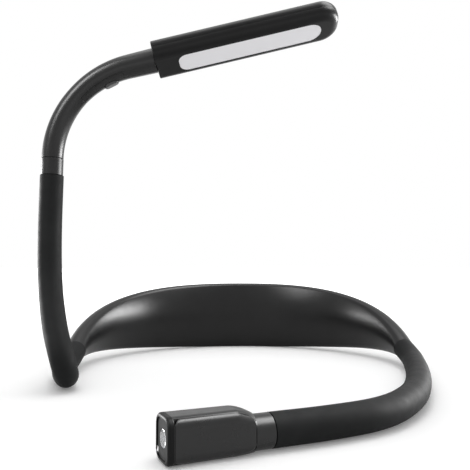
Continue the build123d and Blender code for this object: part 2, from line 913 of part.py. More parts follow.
def make_pod_frame():
    """Middle frame of the box, with its neck; the covers close its two sides."""
    frame = pod_body()
    frame += cylinder_along(neck_axis_start(), Vector(1, 0, 0), pod_neck_diameter, pod_neck_length)
    frame -= Box(end_cap_thickness * 2, pod_width * 2, pod_height * 4)
    for side in (-1, 1):
        frame -= cover_block(side, seam_gap / 2)
    cavity_start = end_cap_thickness + pod_end_wall
    inner = pod_width / 2 - pod_cover_thickness + cut_overrun
    cavity = pod_side_block(pod_cavity_inset, inner, -inner)
    cavity &= Pos(cavity_start, 0, 0) * Box(pod_length - cavity_start - pod_cavity_inset, pod_width * 2,
                                            pod_height * 2, align=(Align.MIN, Align.CENTER, Align.MIN))
    frame -= cavity
    reflector_bore = reflector_mouth_diameter + (reflector_wall + fit_clearance) * 2
    frame -= torch_bore(reflector_bore, 0, cavity_start * 2)
    socket_start = neck_axis_start() + Vector(pod_neck_length - pod_neck_socket, 0, 0)
    socket = core_diameter + fit_clearance * 2
    frame -= cylinder_along(socket_start, Vector(1, 0, 0), socket, pod_neck_socket + cut_overrun)
    hole_start = neck_axis_start() - Vector(pod_cavity_inset * 2, 0, 0)
    hole_length = pod_neck_length + pod_cavity_inset * 2
    return frame - cylinder_along(hole_start, Vector(1, 0, 0), core_bore, hole_length)


def make_pod_cover(side):
    """Side cover of the box; the rear one has the torch button's hole and the socket's mouth."""
    cover = pod_body() & cover_block(side, -seam_gap / 2)
    if side > 0:
        cover -= button_bore(torch_button_diameter + running_clearance * 2)
        cover -= socket_block(socket_width + fit_clearance * 2, socket_height + fit_clearance * 2,
                              socket_corner + fit_clearance, 0, pod_width)
    return cover


def make_end_cap():
    """End cap round the torch: a rim, a sunk face and a corner eyelet."""
    body = pod_body() & Box(end_cap_thickness * 2, pod_width * 2, pod_height * 4)
    front_edges = body.edges().filter_by_position(Axis.X, -fit_clearance, fit_clearance)
    body = fillet(front_edges, end_cap_edge)
    sunk = pod_section(pod_height - end_cap_rim * 2, pod_width - end_cap_rim * 2,
                       pod_corner - end_cap_rim / 2, 0)
    body -= Pos(0, 0, end_cap_rim) * extrude(sunk, amount=end_cap_recess)
    rim_bore = reflector_rim_diameter + fit_clearance * 2
    body -= torch_bore(rim_bore, -cut_overrun, end_cap_thickness + cut_overrun * 2)
    return body - eyelet_space()


def eyelet_space():
    """Slanting hole through the cap's lower rear corner, for a lanyard."""
    middle = Vector(eyelet_inset / 2, pod_width / 2 - eyelet_inset / 2, eyelet_height)
    direction = Vector(1, 1, 0)
    place = Plane(origin=middle, x_dir=(0, 0, 1), z_dir=direction)
    return extrude(place * SlotOverall(eyelet_length, eyelet_width), amount=pod_width, both=True)


def make_torch_reflector():
    """Cone reflector with a bright rim, turned about the torch's axis."""
    rim = reflector_rim_diameter / 2
    mouth = reflector_mouth_diameter / 2
    throat = reflector_throat_diameter / 2
    seat = torch_lens_diameter / 2 + running_clearance
    front = end_cap_recess
    inner = front + torch_lens_thickness
    back = front + reflector_depth
    lip = front + reflector_rim_thickness
    with BuildLine() as profile:
        Line((inner, mouth), (inner, seat))
        Line((inner, seat), (front, seat))
        Line((front, seat), (front, rim))
        Line((front, rim), (lip, rim))
        Line((lip, rim), (lip, mouth + reflector_wall))
        Line((lip, mouth + reflector_wall), (back, throat + reflector_wall))
        Line((back, throat + reflector_wall), (back, throat))
        ThreePointArc((back, throat), reflector_belly(inner, back, mouth, throat), (inner, mouth))
    face = make_face(profile.line)
    upright = Plane(origin=(0, 0, torch_axis_height), x_dir=(1, 0, 0), z_dir=(0, -1, 0))
    axis = Axis((0, 0, torch_axis_height), (1, 0, 0))
    return revolve(upright * face, axis)


def reflector_belly(front, back, mouth, throat):
    """Middle point of the reflector's bright curve."""
    return ((front + back) / 2, (mouth + throat) / 2 + reflector_wall / 3)


def make_torch_lens():
    """Clear window, seated in the reflector's rim."""
    return torch_bore(torch_lens_diameter, end_cap_recess, torch_lens_thickness)


def torch_board_start():
    """Front of the torch's small circuit board, behind the reflector."""
    return end_cap_recess + reflector_depth + fit_clearance


def make_torch_led():
    """Domed emitter in the reflector's throat, on a square base."""
    start = torch_board_start()
    stem = torch_bore(torch_led_diameter, start - torch_led_height, torch_led_height)
    tip = Pos(start - torch_led_height, 0, torch_axis_height) * Sphere(torch_led_diameter / 2)
    return stem + tip


def make_torch_board():
    """Square board behind the reflector."""
    board = Box(torch_board_thickness, torch_board_size, torch_board_size,
                align=(Align.MIN, Align.CENTER, Align.CENTER))
    return Pos(torch_board_start(), 0, torch_axis_height) * board


def make_battery():
    """Flat rechargeable cell, rounded at its sides, in the front half of the box."""
    floor = pod_cavity_inset + fit_clearance
    front = -pod_width / 2 + pod_cover_thickness + fit_clearance * 2
    cell = Box(battery_length, battery_thickness, battery_height, align=Align.MIN)
    cell = fillet(cell.edges().filter_by(Axis.X), battery_thickness / 4)
    return Pos(battery_start, front, floor) * cell


def make_control_board():
    """Circuit board of the battery and the torch, upright along the box."""
    board = Box(board_length, board_thickness, board_height, align=Align.MIN)
    return Pos(board_start, board_depth, pod_cavity_inset) * board


def socket_block(width, height, corner, start, end):
    """A rounded block across the box at the charging socket."""
    face_height = pod_cavity_inset + board_height / 2
    across = Plane(origin=(socket_place, start, face_height), x_dir=(0, 0, 1), z_dir=(0, 1, 0))
    return extrude(across * RectangleRounded(width, height, corner), amount=end - start)


def make_charge_socket():
    """Metal shell of the charging socket with its tongue."""
    start = board_depth + board_thickness
    end = pod_side_at(socket_place) - socket_recess
    shell = socket_block(socket_width, socket_height, socket_corner, start, end)
    inner_width = socket_width - socket_wall * 2
    inner_height = socket_height - socket_wall * 2
    floor = start + socket_wall * 3
    shell -= socket_block(inner_width, inner_height, socket_corner - socket_wall, floor, pod_width)
    tongue = socket_block(inner_width - socket_height / 2, socket_wall * 2, socket_wall / 2, start,
                          end - socket_wall * 2)
    return shell + tongue


def button_bore(diameter):
    """A round space on the torch button's axis, through the rear cover."""
    middle = Vector(torch_button_place, 0, pod_cavity_inset + board_height / 2)
    return cylinder_along(middle, Vector(0, 1, 0), diameter, pod_width)


def torch_switch_height():
    """How far the torch's switch stands off the board."""
    return switch_body_height + switch_plunger_height


def make_torch_switch():
    """Small push switch behind the torch button."""
    height = pod_cavity_inset + board_height / 2
    start = board_depth + board_thickness
    across = Plane(origin=(torch_button_place, start, height), x_dir=(1, 0, 0), z_dir=(0, 1, 0))
    body = extrude(across * Rectangle(switch_size, switch_size), amount=switch_body_height)
    plunger = extrude(across * Circle(switch_plunger_diameter / 2), amount=torch_switch_height())
    return body + plunger


def make_torch_button():
    """Round button with a retaining flange inside the cover and a stem to the switch."""
    height = pod_cavity_inset + board_height / 2
    start = board_depth + board_thickness + torch_switch_height() + button_travel + fit_clearance
    cover_inside = pod_width / 2 - pod_cover_thickness
    across = Plane(origin=(torch_button_place, 0, height), x_dir=(1, 0, 0), z_dir=(0, 1, 0))
    outer = pod_side_at(torch_button_place) + torch_button_proud
    cap = extrude(across.offset(start) * Circle(torch_button_diameter / 2), amount=outer - start)
    rim = cap.edges().filter_by_position(Axis.Y, outer - fit_clearance, outer + fit_clearance)
    cap = fillet(rim, torch_button_proud / 2)
    flange_end = cover_inside - fit_clearance
    flange = across.offset(flange_end - button_flange_thickness)
    flange_diameter = torch_button_diameter + button_flange * 2
    return cap + extrude(flange * Circle(flange_diameter / 2), amount=button_flange_thickness)


def build():
    """Every sub-part by its node name, laid out about the centre of the neck loop."""
    parts = {}
    parts["neck_cover"] = make_neck_cover()
    parts["neck_core"] = make_neck_core()
    parts["neck_spine"] = spine_strip()
    parts["neck_cable"] = band_cable()
    parts["lamp_core_crimp"] = make_crimp(-1)
    parts["torch_core_crimp"] = make_crimp(1)

    lamp = make_arm_pieces(lamp_points(), -1, ferrule_socket - fit_clearance)
    lower_place = lamp_point_at(lamp_bend_lower_height)
    upper_place = lamp_point_at(lamp_bend_upper_height)
    upper, rest = split_by(lamp[0], Plane(origin=upper_place, z_dir=(0, 0, 1)))
    middle, lower = split_by(rest, Plane(origin=lower_place, z_dir=(0, 0, 1)))
    parts["lamp_sleeve_lower"] = lower
    parts["lamp_sleeve_middle"] = middle
    parts["lamp_sleeve_upper"] = upper
    parts["lamp_gooseneck"] = lamp[1]
    parts["lamp_cable"] = lamp[2]

    torch = make_arm_pieces(torch_points(), 1, pod_neck_gap + pod_neck_socket - fit_clearance)
    side_point, side_direction = torch_bend(torch_bend_side_run_count, torch_bend_side_share)
    rear, rest = split_by(torch[0], Plane(origin=side_point, z_dir=side_direction * -1))
    front_point, front_direction = torch_bend(torch_bend_front_run_count, torch_bend_front_share)
    middle, front = split_by(rest, Plane(origin=front_point, z_dir=front_direction * -1))
    parts["torch_sleeve_rear"] = rear
    parts["torch_sleeve_middle"] = middle
    parts["torch_sleeve_front"] = front
    parts["torch_gooseneck"] = torch[1]
    parts["torch_cable"] = torch[2]

    parts["lamp_ferrule"] = make_ferrule()
    wall = make_arm_wall()
    parts["arm_shell"] = make_arm_shell(wall)
    parts["arm_cover"] = make_arm_cover(wall)
    parts["lamp_button"] = make_lamp_button()
    parts["lamp_switch"] = make_lamp_switch()
    parts["lamp_switch_board"] = make_lamp_switch_board()
    parts["arm_cable"] = make_arm_cable()
    parts["head_pivot"] = make_head_pivot()

    head = head_plane().location
    top, bottom = make_head_halves()
    parts["head_top_casing"] = head * top
    parts["head_bottom_casing"] = head * bottom
    parts["head_diffuser"] = head * make_diffuser()
    parts["head_reflector_tray"] = head * make_tray()
    parts["head_led_board"] = head * make_led_board()
    parts["head_leds"] = head * make_leds()

    pod = pod_plane().location
    parts["torch_frame"] = pod * make_pod_frame()
    parts["torch_front_cover"] = pod * make_pod_cover(-1)
    parts["torch_rear_cover"] = pod * make_pod_cover(1)
    parts["torch_end_cap"] = pod * make_end_cap()
    parts["torch_reflector"] = pod * make_torch_reflector()
    parts["torch_lens"] = pod * make_torch_lens()
    parts["torch_led"] = pod * make_torch_led()
    parts["torch_board"] = pod * make_torch_board()
    parts["battery_cell"] = pod * make_battery()
    parts["control_board"] = pod * make_control_board()
    parts["charge_socket"] = pod * make_charge_socket()
    parts["torch_switch"] = pod * make_torch_switch()
    parts["torch_button"] = pod * make_torch_button()
    return parts


def torch_bend(run, share):
    """Place and direction of the torch arm at a bend, on one straight run of its route."""
    start, end = torch_points()[run:run + 2]
    return start + (end - start) * share, (end - start).normalized()


def base_centre(parts):
    """Bottom centre of the whole light's box."""
    boxes = [shape.bounding_box(optimal=True) for shape in parts.values()]
    low_x = min(box.min.X for box in boxes)
    high_x = max(box.max.X for box in boxes)
    low_y = min(box.min.Y for box in boxes)
    high_y = max(box.max.Y for box in boxes)
    return Vector((low_x + high_x) / 2, (low_y + high_y) / 2, 0)


def print_places(origin):
    """Joint places and directions in the part's own frame."""
    pod = pod_plane()
    button = button_plane()
    torch_middle = Vector(torch_button_place, 0, pod_cavity_inset + board_height / 2)
    places = {
        "lamp_bend_lower": (lamp_point_at(lamp_bend_lower_height), Vector(1, 0, 0)),
        "lamp_bend_upper": (lamp_point_at(lamp_bend_upper_height), Vector(0, 1, 0)),
        "torch_bend_side": torch_bend(torch_bend_side_run_count, torch_bend_side_share),
        "torch_bend_front": torch_bend(torch_bend_front_run_count, torch_bend_front_share),
        "head_roll": (arm_end(), arm_direction(arm_end_lean)),
        "lamp_button": (button.origin, button.z_dir * -1),
        "torch_button": (pod.from_local_coords(torch_middle), pod.y_dir * -1),
        "pod_base": (pod.from_local_coords(Vector(pod_taper_start / 2, 0, 0)), pod.x_dir),
        "loop_centre": (Vector(0, 0, 0), Vector(0, 1, 0)),
    }
    for name, (point, direction) in places.items():
        at = point - origin
        print("place", name, [round(v, 4) for v in at], [round(v, 6) for v in direction])


def main():
    """Builds every sub-part and writes it about the bottom centre of the light's box."""
    parts = build()
    origin = base_centre(parts)
    print("origin", round(origin.X, 3), round(origin.Y, 3))
    print_places(origin)
    os.makedirs("parts", exist_ok=True)
    for name, shape in parts.items():
        export_step(Pos(-origin.X, -origin.Y, 0) * shape, f"parts/{name}.step")


main()
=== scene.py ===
"""Looks of the neck reading light: soft pad and sleeves, glossy tube, lamp head and torch box.

Named sizes are in millimetres, as in the part's own source, unless a comment says otherwise.
Points and lamps are in metres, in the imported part's frame. The table is Z = 0 and the viewer
stands on the -Y side.
"""
import json
import math

import bpy
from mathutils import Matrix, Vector


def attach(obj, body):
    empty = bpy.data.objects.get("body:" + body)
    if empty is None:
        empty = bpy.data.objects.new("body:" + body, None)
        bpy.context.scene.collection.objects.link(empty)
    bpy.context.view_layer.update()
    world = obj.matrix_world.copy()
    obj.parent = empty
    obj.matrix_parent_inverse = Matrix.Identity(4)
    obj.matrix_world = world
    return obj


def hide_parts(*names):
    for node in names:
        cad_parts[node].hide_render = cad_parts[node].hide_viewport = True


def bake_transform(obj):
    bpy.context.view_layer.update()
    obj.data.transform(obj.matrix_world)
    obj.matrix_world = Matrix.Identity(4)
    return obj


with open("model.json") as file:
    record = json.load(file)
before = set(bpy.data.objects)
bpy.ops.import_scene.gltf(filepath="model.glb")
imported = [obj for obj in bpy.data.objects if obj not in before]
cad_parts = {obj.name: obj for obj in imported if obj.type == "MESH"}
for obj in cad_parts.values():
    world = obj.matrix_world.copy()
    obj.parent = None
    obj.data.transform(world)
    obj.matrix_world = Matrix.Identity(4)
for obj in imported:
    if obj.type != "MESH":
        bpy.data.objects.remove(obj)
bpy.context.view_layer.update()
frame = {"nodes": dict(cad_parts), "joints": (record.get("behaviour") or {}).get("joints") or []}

MM = 0.001
LOOP_X = 1.1083              # the neck loop's centre in the part's frame
LOOP_Y = 36.0526

# Pad
BAND_RADIUS = 106.0
BAND_RIGHT_SPAN = 84.0       # degrees from the middle of the back
BAND_LEFT_SPAN = 90.0
BAND_END_THICKNESS = 12.6
BAND_END_HEIGHT = 13.0
BAND_MIDDLE_HEIGHT = 51.0
BAND_MIDDLE_THICKNESS = 14.0
BAND_END_DROP = 13.4         # how much lower the pad's ends run than its middle
BAND_DROP_POWER = 3.6
BAND_FULLNESS = 1.2          # above 1 the pad keeps its height further towards its ends
BAND_TIP_SHARE = 0.2         # how much sharper the pad's edges get as it grows taller
BAND_FOOT = 0.5              # depth of the flat that the pad rests on
BAND_SEAM_DEPTH = 0.12       # parting line of the mould along the pad's two edges
BAND_ROWS = 140
BAND_ROUND = 72              # points round the pad, a multiple of eight
BAND_CENTRE_HEIGHT = BAND_MIDDLE_HEIGHT / 2 - BAND_FOOT

# Arms
SLEEVE_DIAMETER = 13.0
SLEEVE_CLEARANCE = 0.1       # between the sleeve and the gooseneck inside it
CORE_DIAMETER = 9.0
CORE_BORE = 6.0
CORE_RIDGES = (-0.28, 0.0, -0.12)    # change of radius over each turn of the wound wire
CABLE_DIAMETER = 2.2
CORE_TAIL = 12.0             # length of a gooseneck inside the pad's end
ARM_FIRST_RUN = 15.0
SLEEVE_HEIGHT = SLEEVE_DIAMETER / 2
LAMP_ROUTE = (
    (-104.6, -30.0, 6.5),
    (-100.4, -46.0, 6.5),
    (-94.6, -60.0, 6.5),
    (-93.0, -69.0, 11.2),
    (-95.2, -70.6, 21.0),
    (-101.0, -62.2, 33.0),
    (-107.2, -51.0, 56.0),
    (-108.9, -47.0, 84.0),
    (-108.1, -47.0, 116.5),
)
TORCH_ROUTE = (
    (103.0, -22.0),
    (97.2, -47.0),
    (88.8, -76.0),
    (77.0, -107.4),
    (57.2, -137.0),
    (31.4, -152.0),
    (8.0, -162.0),
)
LAMP_MIDDLE_HEIGHT = 70.0    # where the lower and the upper length of the lamp's sleeve meet
TORCH_MIDDLE_SHARE = 0.5     # where the torch's two lengths meet, from one bend to the other
FERRULE_NOSE = 5.4           # length of a gooseneck inside the ferrule and inside the box's neck
TORCH_NOSE = 6.4
ARM_STEP = 1.2               # length of a row along an arm
TAIL_ROWS = 8
NOSE_ROWS = 4
SLEEVE_ROUND = 56            # points round each tube
CORE_ROUND = 28
CABLE_ROUND = 14

# Ferrule and rigid arm
FERRULE_LENGTH = 9.9
ARM_START_DIAMETER = 12.0
ARM_END_DIAMETER = 13.9
ARM_WALL = 1.5
ARM_BEND_RADIUS = 55.3
ARM_END_LEAN = 76.5          # at the head; every lean is in degrees from upright
ARM_STRAIGHT = 15.6
ARM_FLARE_SHARE = 0.45       # share of the bend after which the tube grows
COVER_SPLIT_SHARE = 0.62     # the cover's edge, as a share of the tube's radius below its axis
COVER_START_LEAN = 42.0
COVER_END_LEAN = 73.0
SEAM_GAP = 0.08
BUTTON_LEAN = 63.0
BUTTON_LENGTH = 8.6
BUTTON_WIDTH = 5.0
RUNNING_CLEARANCE = 0.12
TUBE_EDGE = 0.1              # softening of the seam's edges
COVER_EDGE = 0.08
SOFT_EDGE_ANGLE = 40.0       # degrees; sharper edges than this are softened
SOFT_EDGE_SEGMENTS = 2
TUBE_ROWS = 34               # rows before the cover, beside it, after it and on the straight end
TUBE_OPEN_ROWS = 32
TUBE_CLOSED_ROWS = 5
TUBE_STRAIGHT_ROWS = 12
TUBE_UPPER_ROUND = 54
TUBE_LOWER_ROUND = 20
COVER_ROWS = 44
COVER_COLUMNS = 22
BUTTON_ROUND = 17            # points on each rounded end of the button's hole

# Torch box, in its own frame: X from the torch face to the neck, Y away from the viewer, Z up
POD_HEADING = 24.0           # degrees
POD_LENGTH = 33.0
POD_HEIGHT = 16.2
POD_WIDTH = 14.8
POD_MIDDLE_WIDTH = 13.8
POD_SHOULDER_WIDTH = 13.2
POD_SHOULDER_HEIGHT = 14.0
POD_TAPER_START = 26.0
POD_CORNER = 4.0
POD_NECK_LENGTH = 8.1        # with the small gap to the sleeve
PANEL_START = 2.5
PANEL_INSET = 0.62
PANEL_CORNER = 2.6
PANEL_LIFT = 1.6             # rise of the panel's lower edge at the neck
PANEL_EDGE = 0.55
PANEL_THICKNESS = 1.1
PANEL_COLUMNS = 90
PANEL_ROWS = 44
TORCH_AXIS_HEIGHT = 8.2
RIM_FRONT = 0.5
RIM_BACK = 1.6
RIM_RADIUS = 3.15
RIM_EDGE = 0.14
LENS_RADIUS = 2.92
BOWL_FRONT = 1.1
BOWL_BACK = 5.1
BOWL_RADIUS = 2.6
BOWL_THROAT = 1.2
BOWL_POWER = 1.6             # above 1 the bowl narrows faster towards its throat
BOWL_WALL = 0.4
BOWL_WALL_SHARE = 0.9        # share of the wall that the bowl fills, clear of the rim
BOWL_ROWS = 14
TURNED_ROUND = 64
TURNED_SHARP_ANGLE = 50.0    # degrees

# Camera
FOCUS = 600.0                # pixels on a picture 470 pixels wide
PICTURE = 470.0
HORIZON = 262.0
CAMERA_PLACE = (-3.592, -347.947, 67.8)
CAMERA_SENSOR = 36.0
CAMERA_NEAR = 0.01           # metres
CAMERA_FAR = 50.0

# Studio, in metres and watts
FLOOR_HALF = 6.0
FLOOR_DROP = 0.0002
FLOOR_GREY = 0.93
FLOOR_ROUGHNESS = 0.6
FLOOR_GLOW = (0.12, 1.0)     # glow under the object and far from it
FLOOR_GLOW_REACH = (0.28, 0.9)    # distances at which the glow starts and stops to grow
WORLD_LIGHT = 0.74
WHITE = (1.0, 1.0, 1.0, 1.0)
FLOOR_LAMP = {"at": (0.0, 0.1, 1.3), "aim": (0, 0, 0), "size": (0.9, 0.9), "power": 6.5}
HIGHLIGHT_LAMPS = {
    "top": {"at": (0.42, -0.05, 0.85), "aim": (0, 0, 0.05), "size": (0.55, 0.5), "power": 9.0},
    "left": {"at": (-0.66, -0.52, 0.74), "aim": (-0.1, 0, 0.15), "size": (0.3, 0.5), "power": 8.0},
    "back_left": {"at": (-0.8, 0.4, 0.12), "aim": (0, 0, 0.03), "size": (0.5, 0.24), "power": 9.0},
    "back_right": {"at": (0.82, 0.3, 0.22), "aim": (-0.09, 0.05, 0.03), "size": (0.6, 0.2),
                   "power": 12.0},
}


def place(x, y, z):
    """A point of the part, from millimetres about the neck loop's centre."""
    return Vector(((x + LOOP_X) * MM, (y + LOOP_Y) * MM, z * MM))


# Materials: noise in features per metre, bump depths in millimetres

TINT_ENDS = (0.32, 0.68)     # noise values at which the two colours are reached
PATCHES = {"scale": 60.0, "detail": 4.0}
SMUDGES = {"scale": 180.0, "detail": 5.0, "roughness": 0.6}
WAVES = {"scale": 45.0, "detail": 2.0}
WAVE_DEPTH = 0.02
GRAIN_DETAIL = 2.0
LINES = {"scale": 900.0, "detail": 3.0, "roughness": 0.6}
SMEARS = {"scale": 900.0}
RIPPLES = {"scale": 400.0}
LACQUER_SPECULAR = 0.25
GLOW_ROUGH_SPREAD = 0.06


def new_material(name):
    """An empty node material with its output and a Principled shader."""
    made = bpy.data.materials.new(name)
    made.use_nodes = True
    tree = made.node_tree
    tree.nodes.clear()
    output = tree.nodes.new("ShaderNodeOutputMaterial")
    shader = tree.nodes.new("ShaderNodeBsdfPrincipled")
    tree.links.new(shader.outputs["BSDF"], output.inputs["Surface"])
    return made, tree, shader


def noise(tree, scale, detail=3.0, roughness=0.55, stretch=(1.0, 1.0, 1.0)):
    """Noise in the object's own coordinates, in features per metre."""
    coordinates = tree.nodes.new("ShaderNodeTexCoord")
    mapping = tree.nodes.new("ShaderNodeMapping")
    mapping.inputs["Scale"].default_value = stretch
    tree.links.new(coordinates.outputs["Object"], mapping.inputs["Vector"])
    texture = tree.nodes.new("ShaderNodeTexNoise")
    texture.inputs["Scale"].default_value = scale
    texture.inputs["Detail"].default_value = detail
    texture.inputs["Roughness"].default_value = roughness
    tree.links.new(mapping.outputs["Vector"], texture.inputs["Vector"])
    return texture.outputs["Fac"]


def spread(tree, value, low, high, from_low=0.3, from_high=0.7):
    """A value between low and high, from a noise value or a distance."""
    node = tree.nodes.new("ShaderNodeMapRange")
    node.inputs["From Min"].default_value = from_low
    node.inputs["From Max"].default_value = from_high
    node.inputs["To Min"].default_value = low
    node.inputs["To Max"].default_value = high
    tree.links.new(value, node.inputs["Value"])
    return node.outputs["Result"]


def tint(tree, value, first, second):
    """A colour between two, from a noise value."""
    node = tree.nodes.new("ShaderNodeValToRGB")
    for element, position, colour in zip(node.color_ramp.elements, TINT_ENDS, (first, second)):
        element.position = position
        element.color = (*colour, 1.0)
    tree.links.new(value, node.inputs["Fac"])
    return node.outputs["Color"]


def bump(tree, shader, value, depth, below=None):
    """Bump of a real depth in millimetres, on top of another bump if there is one."""
    node = tree.nodes.new("ShaderNodeBump")
    node.inputs["Strength"].default_value = 1.0
    node.inputs["Distance"].default_value = depth * MM
    tree.links.new(value, node.inputs["Height"])
    if below:
        tree.links.new(below, node.inputs["Normal"])
    tree.links.new(node.outputs["Normal"], shader.inputs["Normal"])
    return node.outputs["Normal"]


def plastic(name, dark, light, rough, grain, depth, specular=0.5):
    """Moulded plastic or rubber: mottled colour, uneven gloss, a fine grain and long soft waves."""
    made, tree, shader = new_material(name)
    tree.links.new(tint(tree, noise(tree, **PATCHES), dark, light), shader.inputs["Base Color"])
    tree.links.new(spread(tree, noise(tree, **SMUDGES), *rough), shader.inputs["Roughness"])
    waves = bump(tree, shader, noise(tree, **WAVES), WAVE_DEPTH)
    bump(tree, shader, noise(tree, grain, GRAIN_DETAIL), depth, below=waves)
    shader.inputs["Specular IOR Level"].default_value = specular
    return made


def brushed(name, dark, light, rough, depth, metallic=1.0, stretch=(1.0, 1.0, 1.0)):
    """Turned or wound metal with fine lines, or dark lacquer over it."""
    made, tree, shader = new_material(name)
    lines = noise(tree, stretch=stretch, **LINES)
    tree.links.new(tint(tree, lines, dark, light), shader.inputs["Base Color"])
    tree.links.new(spread(tree, lines, *rough), shader.inputs["Roughness"])
    shader.inputs["Metallic"].default_value = metallic
    if not metallic:
        shader.inputs["Specular IOR Level"].default_value = LACQUER_SPECULAR
    bump(tree, shader, lines, depth)
    return made


def painted_glow_part(name, base, glow, strength, rough, grain, depth):
    """A translucent white part with a fine frosted grain and a painted glow: emission that
    brightens it though no lamp shines in it.
    """
    made = plastic(name, base, base, (rough, rough + GLOW_ROUGH_SPREAD), grain, depth)
    shader = next(node for node in made.node_tree.nodes if node.type == "BSDF_PRINCIPLED")
    shader.inputs["Emission Color"].default_value = (*glow, 1.0)
    shader.inputs["Emission Strength"].default_value = strength
    return made


def clear(name, colour, index, rough, depth):
    """Clear plastic with faint smears."""
    made, tree, shader = new_material(name)
    shader.inputs["Base Color"].default_value = (*colour, 1.0)
    shader.inputs["Transmission Weight"].default_value = 1.0
    shader.inputs["IOR"].default_value = index
    tree.links.new(spread(tree, noise(tree, **SMEARS), *rough), shader.inputs["Roughness"])
    bump(tree, shader, noise(tree, **RIPPLES), depth)
    return made


BLACK = (0.0018, 0.0018, 0.0019)
BLACK_LIGHT = (0.0032, 0.0032, 0.0034)
SOFT_BLACK = (0.0080, 0.0084, 0.0086)
SOFT_LIGHT = (0.0122, 0.0127, 0.0130)
materials = {
    "skin": plastic("skin", BLACK, BLACK_LIGHT, rough=(0.29, 0.34), grain=5200.0, depth=0.004,
                    specular=0.28),
    "sleeve": plastic("sleeve", SOFT_BLACK, SOFT_LIGHT, rough=(0.6, 0.7), grain=4200.0,
                      depth=0.016, specular=0.1),
    "foam": plastic("foam", (0.05, 0.05, 0.055), (0.09, 0.09, 0.1), rough=(0.85, 0.95),
                    grain=1500.0, depth=0.2),
    "gloss": plastic("gloss", BLACK, BLACK_LIGHT, rough=(0.29, 0.33), grain=2600.0, depth=0.001,
                     specular=0.34),
    "head": plastic("head", BLACK, BLACK_LIGHT, rough=(0.30, 0.36), grain=4800.0, depth=0.004,
                    specular=0.15),
    "head_under": plastic("head_under", BLACK, BLACK_LIGHT, rough=(0.32, 0.38), grain=4800.0,
                          depth=0.004, specular=0.18),
    "box": plastic("box", BLACK, BLACK_LIGHT, rough=(0.26, 0.34), grain=5000.0, depth=0.005,
                   specular=0.42),
    "box_cover": plastic("box_cover", BLACK, BLACK_LIGHT, rough=(0.26, 0.32), grain=5000.0,
                         depth=0.004, specular=0.42),
    "cap": plastic("cap", BLACK, BLACK_LIGHT, rough=(0.4, 0.5), grain=4200.0, depth=0.01,
                   specular=0.14),
    "button": plastic("button", (0.02, 0.02, 0.021), (0.028, 0.028, 0.029), rough=(0.36, 0.44),
                      grain=4800.0, depth=0.006),
    "pivot": plastic("pivot", BLACK, BLACK_LIGHT, rough=(0.4, 0.5), grain=4800.0, depth=0.006),
    "cable": plastic("cable", (0.06, 0.06, 0.065), (0.08, 0.08, 0.085), rough=(0.5, 0.6),
                     grain=2500.0, depth=0.01),
    "board": plastic("board", (0.012, 0.10, 0.045), (0.02, 0.14, 0.06), rough=(0.35, 0.45),
                     grain=2500.0, depth=0.008),
    "cell": plastic("cell", (0.33, 0.36, 0.4), (0.4, 0.43, 0.47), rough=(0.25, 0.35),
                    grain=700.0, depth=0.02),
    "switch": plastic("switch", (0.03, 0.03, 0.03), (0.04, 0.04, 0.04), rough=(0.4, 0.5),
                      grain=3000.0, depth=0.006),
    "white": plastic("white", (0.8, 0.8, 0.79), (0.86, 0.86, 0.85), rough=(0.5, 0.6),
                     grain=3000.0, depth=0.006),
    "ferrule": brushed("ferrule", (0.0085, 0.0085, 0.0088), (0.013, 0.013, 0.0134),
                       rough=(0.30, 0.40), depth=0.004, metallic=0.0, stretch=(1.0, 1.0, 14.0)),
    "steel": brushed("steel", (0.35, 0.35, 0.36), (0.5, 0.5, 0.51), rough=(0.3, 0.42),
                     depth=0.004, stretch=(1.0, 1.0, 6.0)),
    "wound_core": brushed("wound_core", (0.05, 0.05, 0.052), (0.09, 0.09, 0.092),
                          rough=(0.35, 0.5), depth=0.004, metallic=0.8, stretch=(1.0, 1.0, 6.0)),
    "crimp": brushed("crimp", (0.5, 0.49, 0.47), (0.62, 0.61, 0.58), rough=(0.3, 0.4),
                     depth=0.003, stretch=(6.0, 1.0, 1.0)),
    "chrome": brushed("chrome", (0.86, 0.86, 0.87), (0.92, 0.92, 0.93), rough=(0.05, 0.09),
                      depth=0.0008),
    # The bowl's darker metal is painted shade: the hollow of the chrome reflector is made dark by
    # its colour.
    "bowl": brushed("bowl", (0.10, 0.10, 0.12), (0.2, 0.2, 0.23), rough=(0.16, 0.26),
                    depth=0.004),
    "socket_metal": brushed("socket_metal", (0.6, 0.6, 0.6), (0.7, 0.7, 0.7), rough=(0.22, 0.32),
                            depth=0.003, stretch=(1.0, 1.0, 5.0)),
    # Painted glow: the diffuser, the head's LEDs and the torch's LED get emission, a glow that no
    # lamp in the scene gives them.
    "diffuser": painted_glow_part("diffuser", (0.74, 0.735, 0.755), glow=(1.0, 0.98, 1.0), strength=0.03,
                        rough=0.5, grain=6000.0, depth=0.004),
    "led": painted_glow_part("led", (0.85, 0.8, 0.5), glow=(1.0, 0.96, 0.85), strength=1.2, rough=0.3,
                   grain=3000.0, depth=0.003),
    "emitter": painted_glow_part("emitter", (0.62, 0.62, 0.58), glow=(1.0, 0.97, 0.9), strength=0.12,
                       rough=0.25, grain=3000.0, depth=0.003),
    "lens": clear("lens", (0.97, 0.98, 0.98), index=1.45, rough=(0.01, 0.05), depth=0.002),
}

NODE_MATERIALS = {
    "neck_core": "foam",
    "neck_spine": "steel",
    "neck_cable": "cable",
    "lamp_core_crimp": "crimp",
    "torch_core_crimp": "crimp",
    "lamp_ferrule": "ferrule",
    "lamp_switch": "switch",
    "lamp_switch_board": "board",
    "arm_cable": "cable",
    "head_pivot": "pivot",
    "head_top_casing": "head",
    "head_bottom_casing": "head_under",
    "head_diffuser": "diffuser",
    "head_reflector_tray": "white",
    "head_led_board": "board",
    "head_leds": "led",
    "lamp_button": "button",
    "torch_frame": "box",
    "torch_rear_cover": "box_cover",
    "torch_end_cap": "cap",
    "torch_lens": "lens",
    "torch_led": "emitter",
    "torch_board": "board",
    "battery_cell": "cell",
    "control_board": "board",
    "charge_socket": "socket_metal",
    "torch_switch": "switch",
    "torch_button": "button",
}


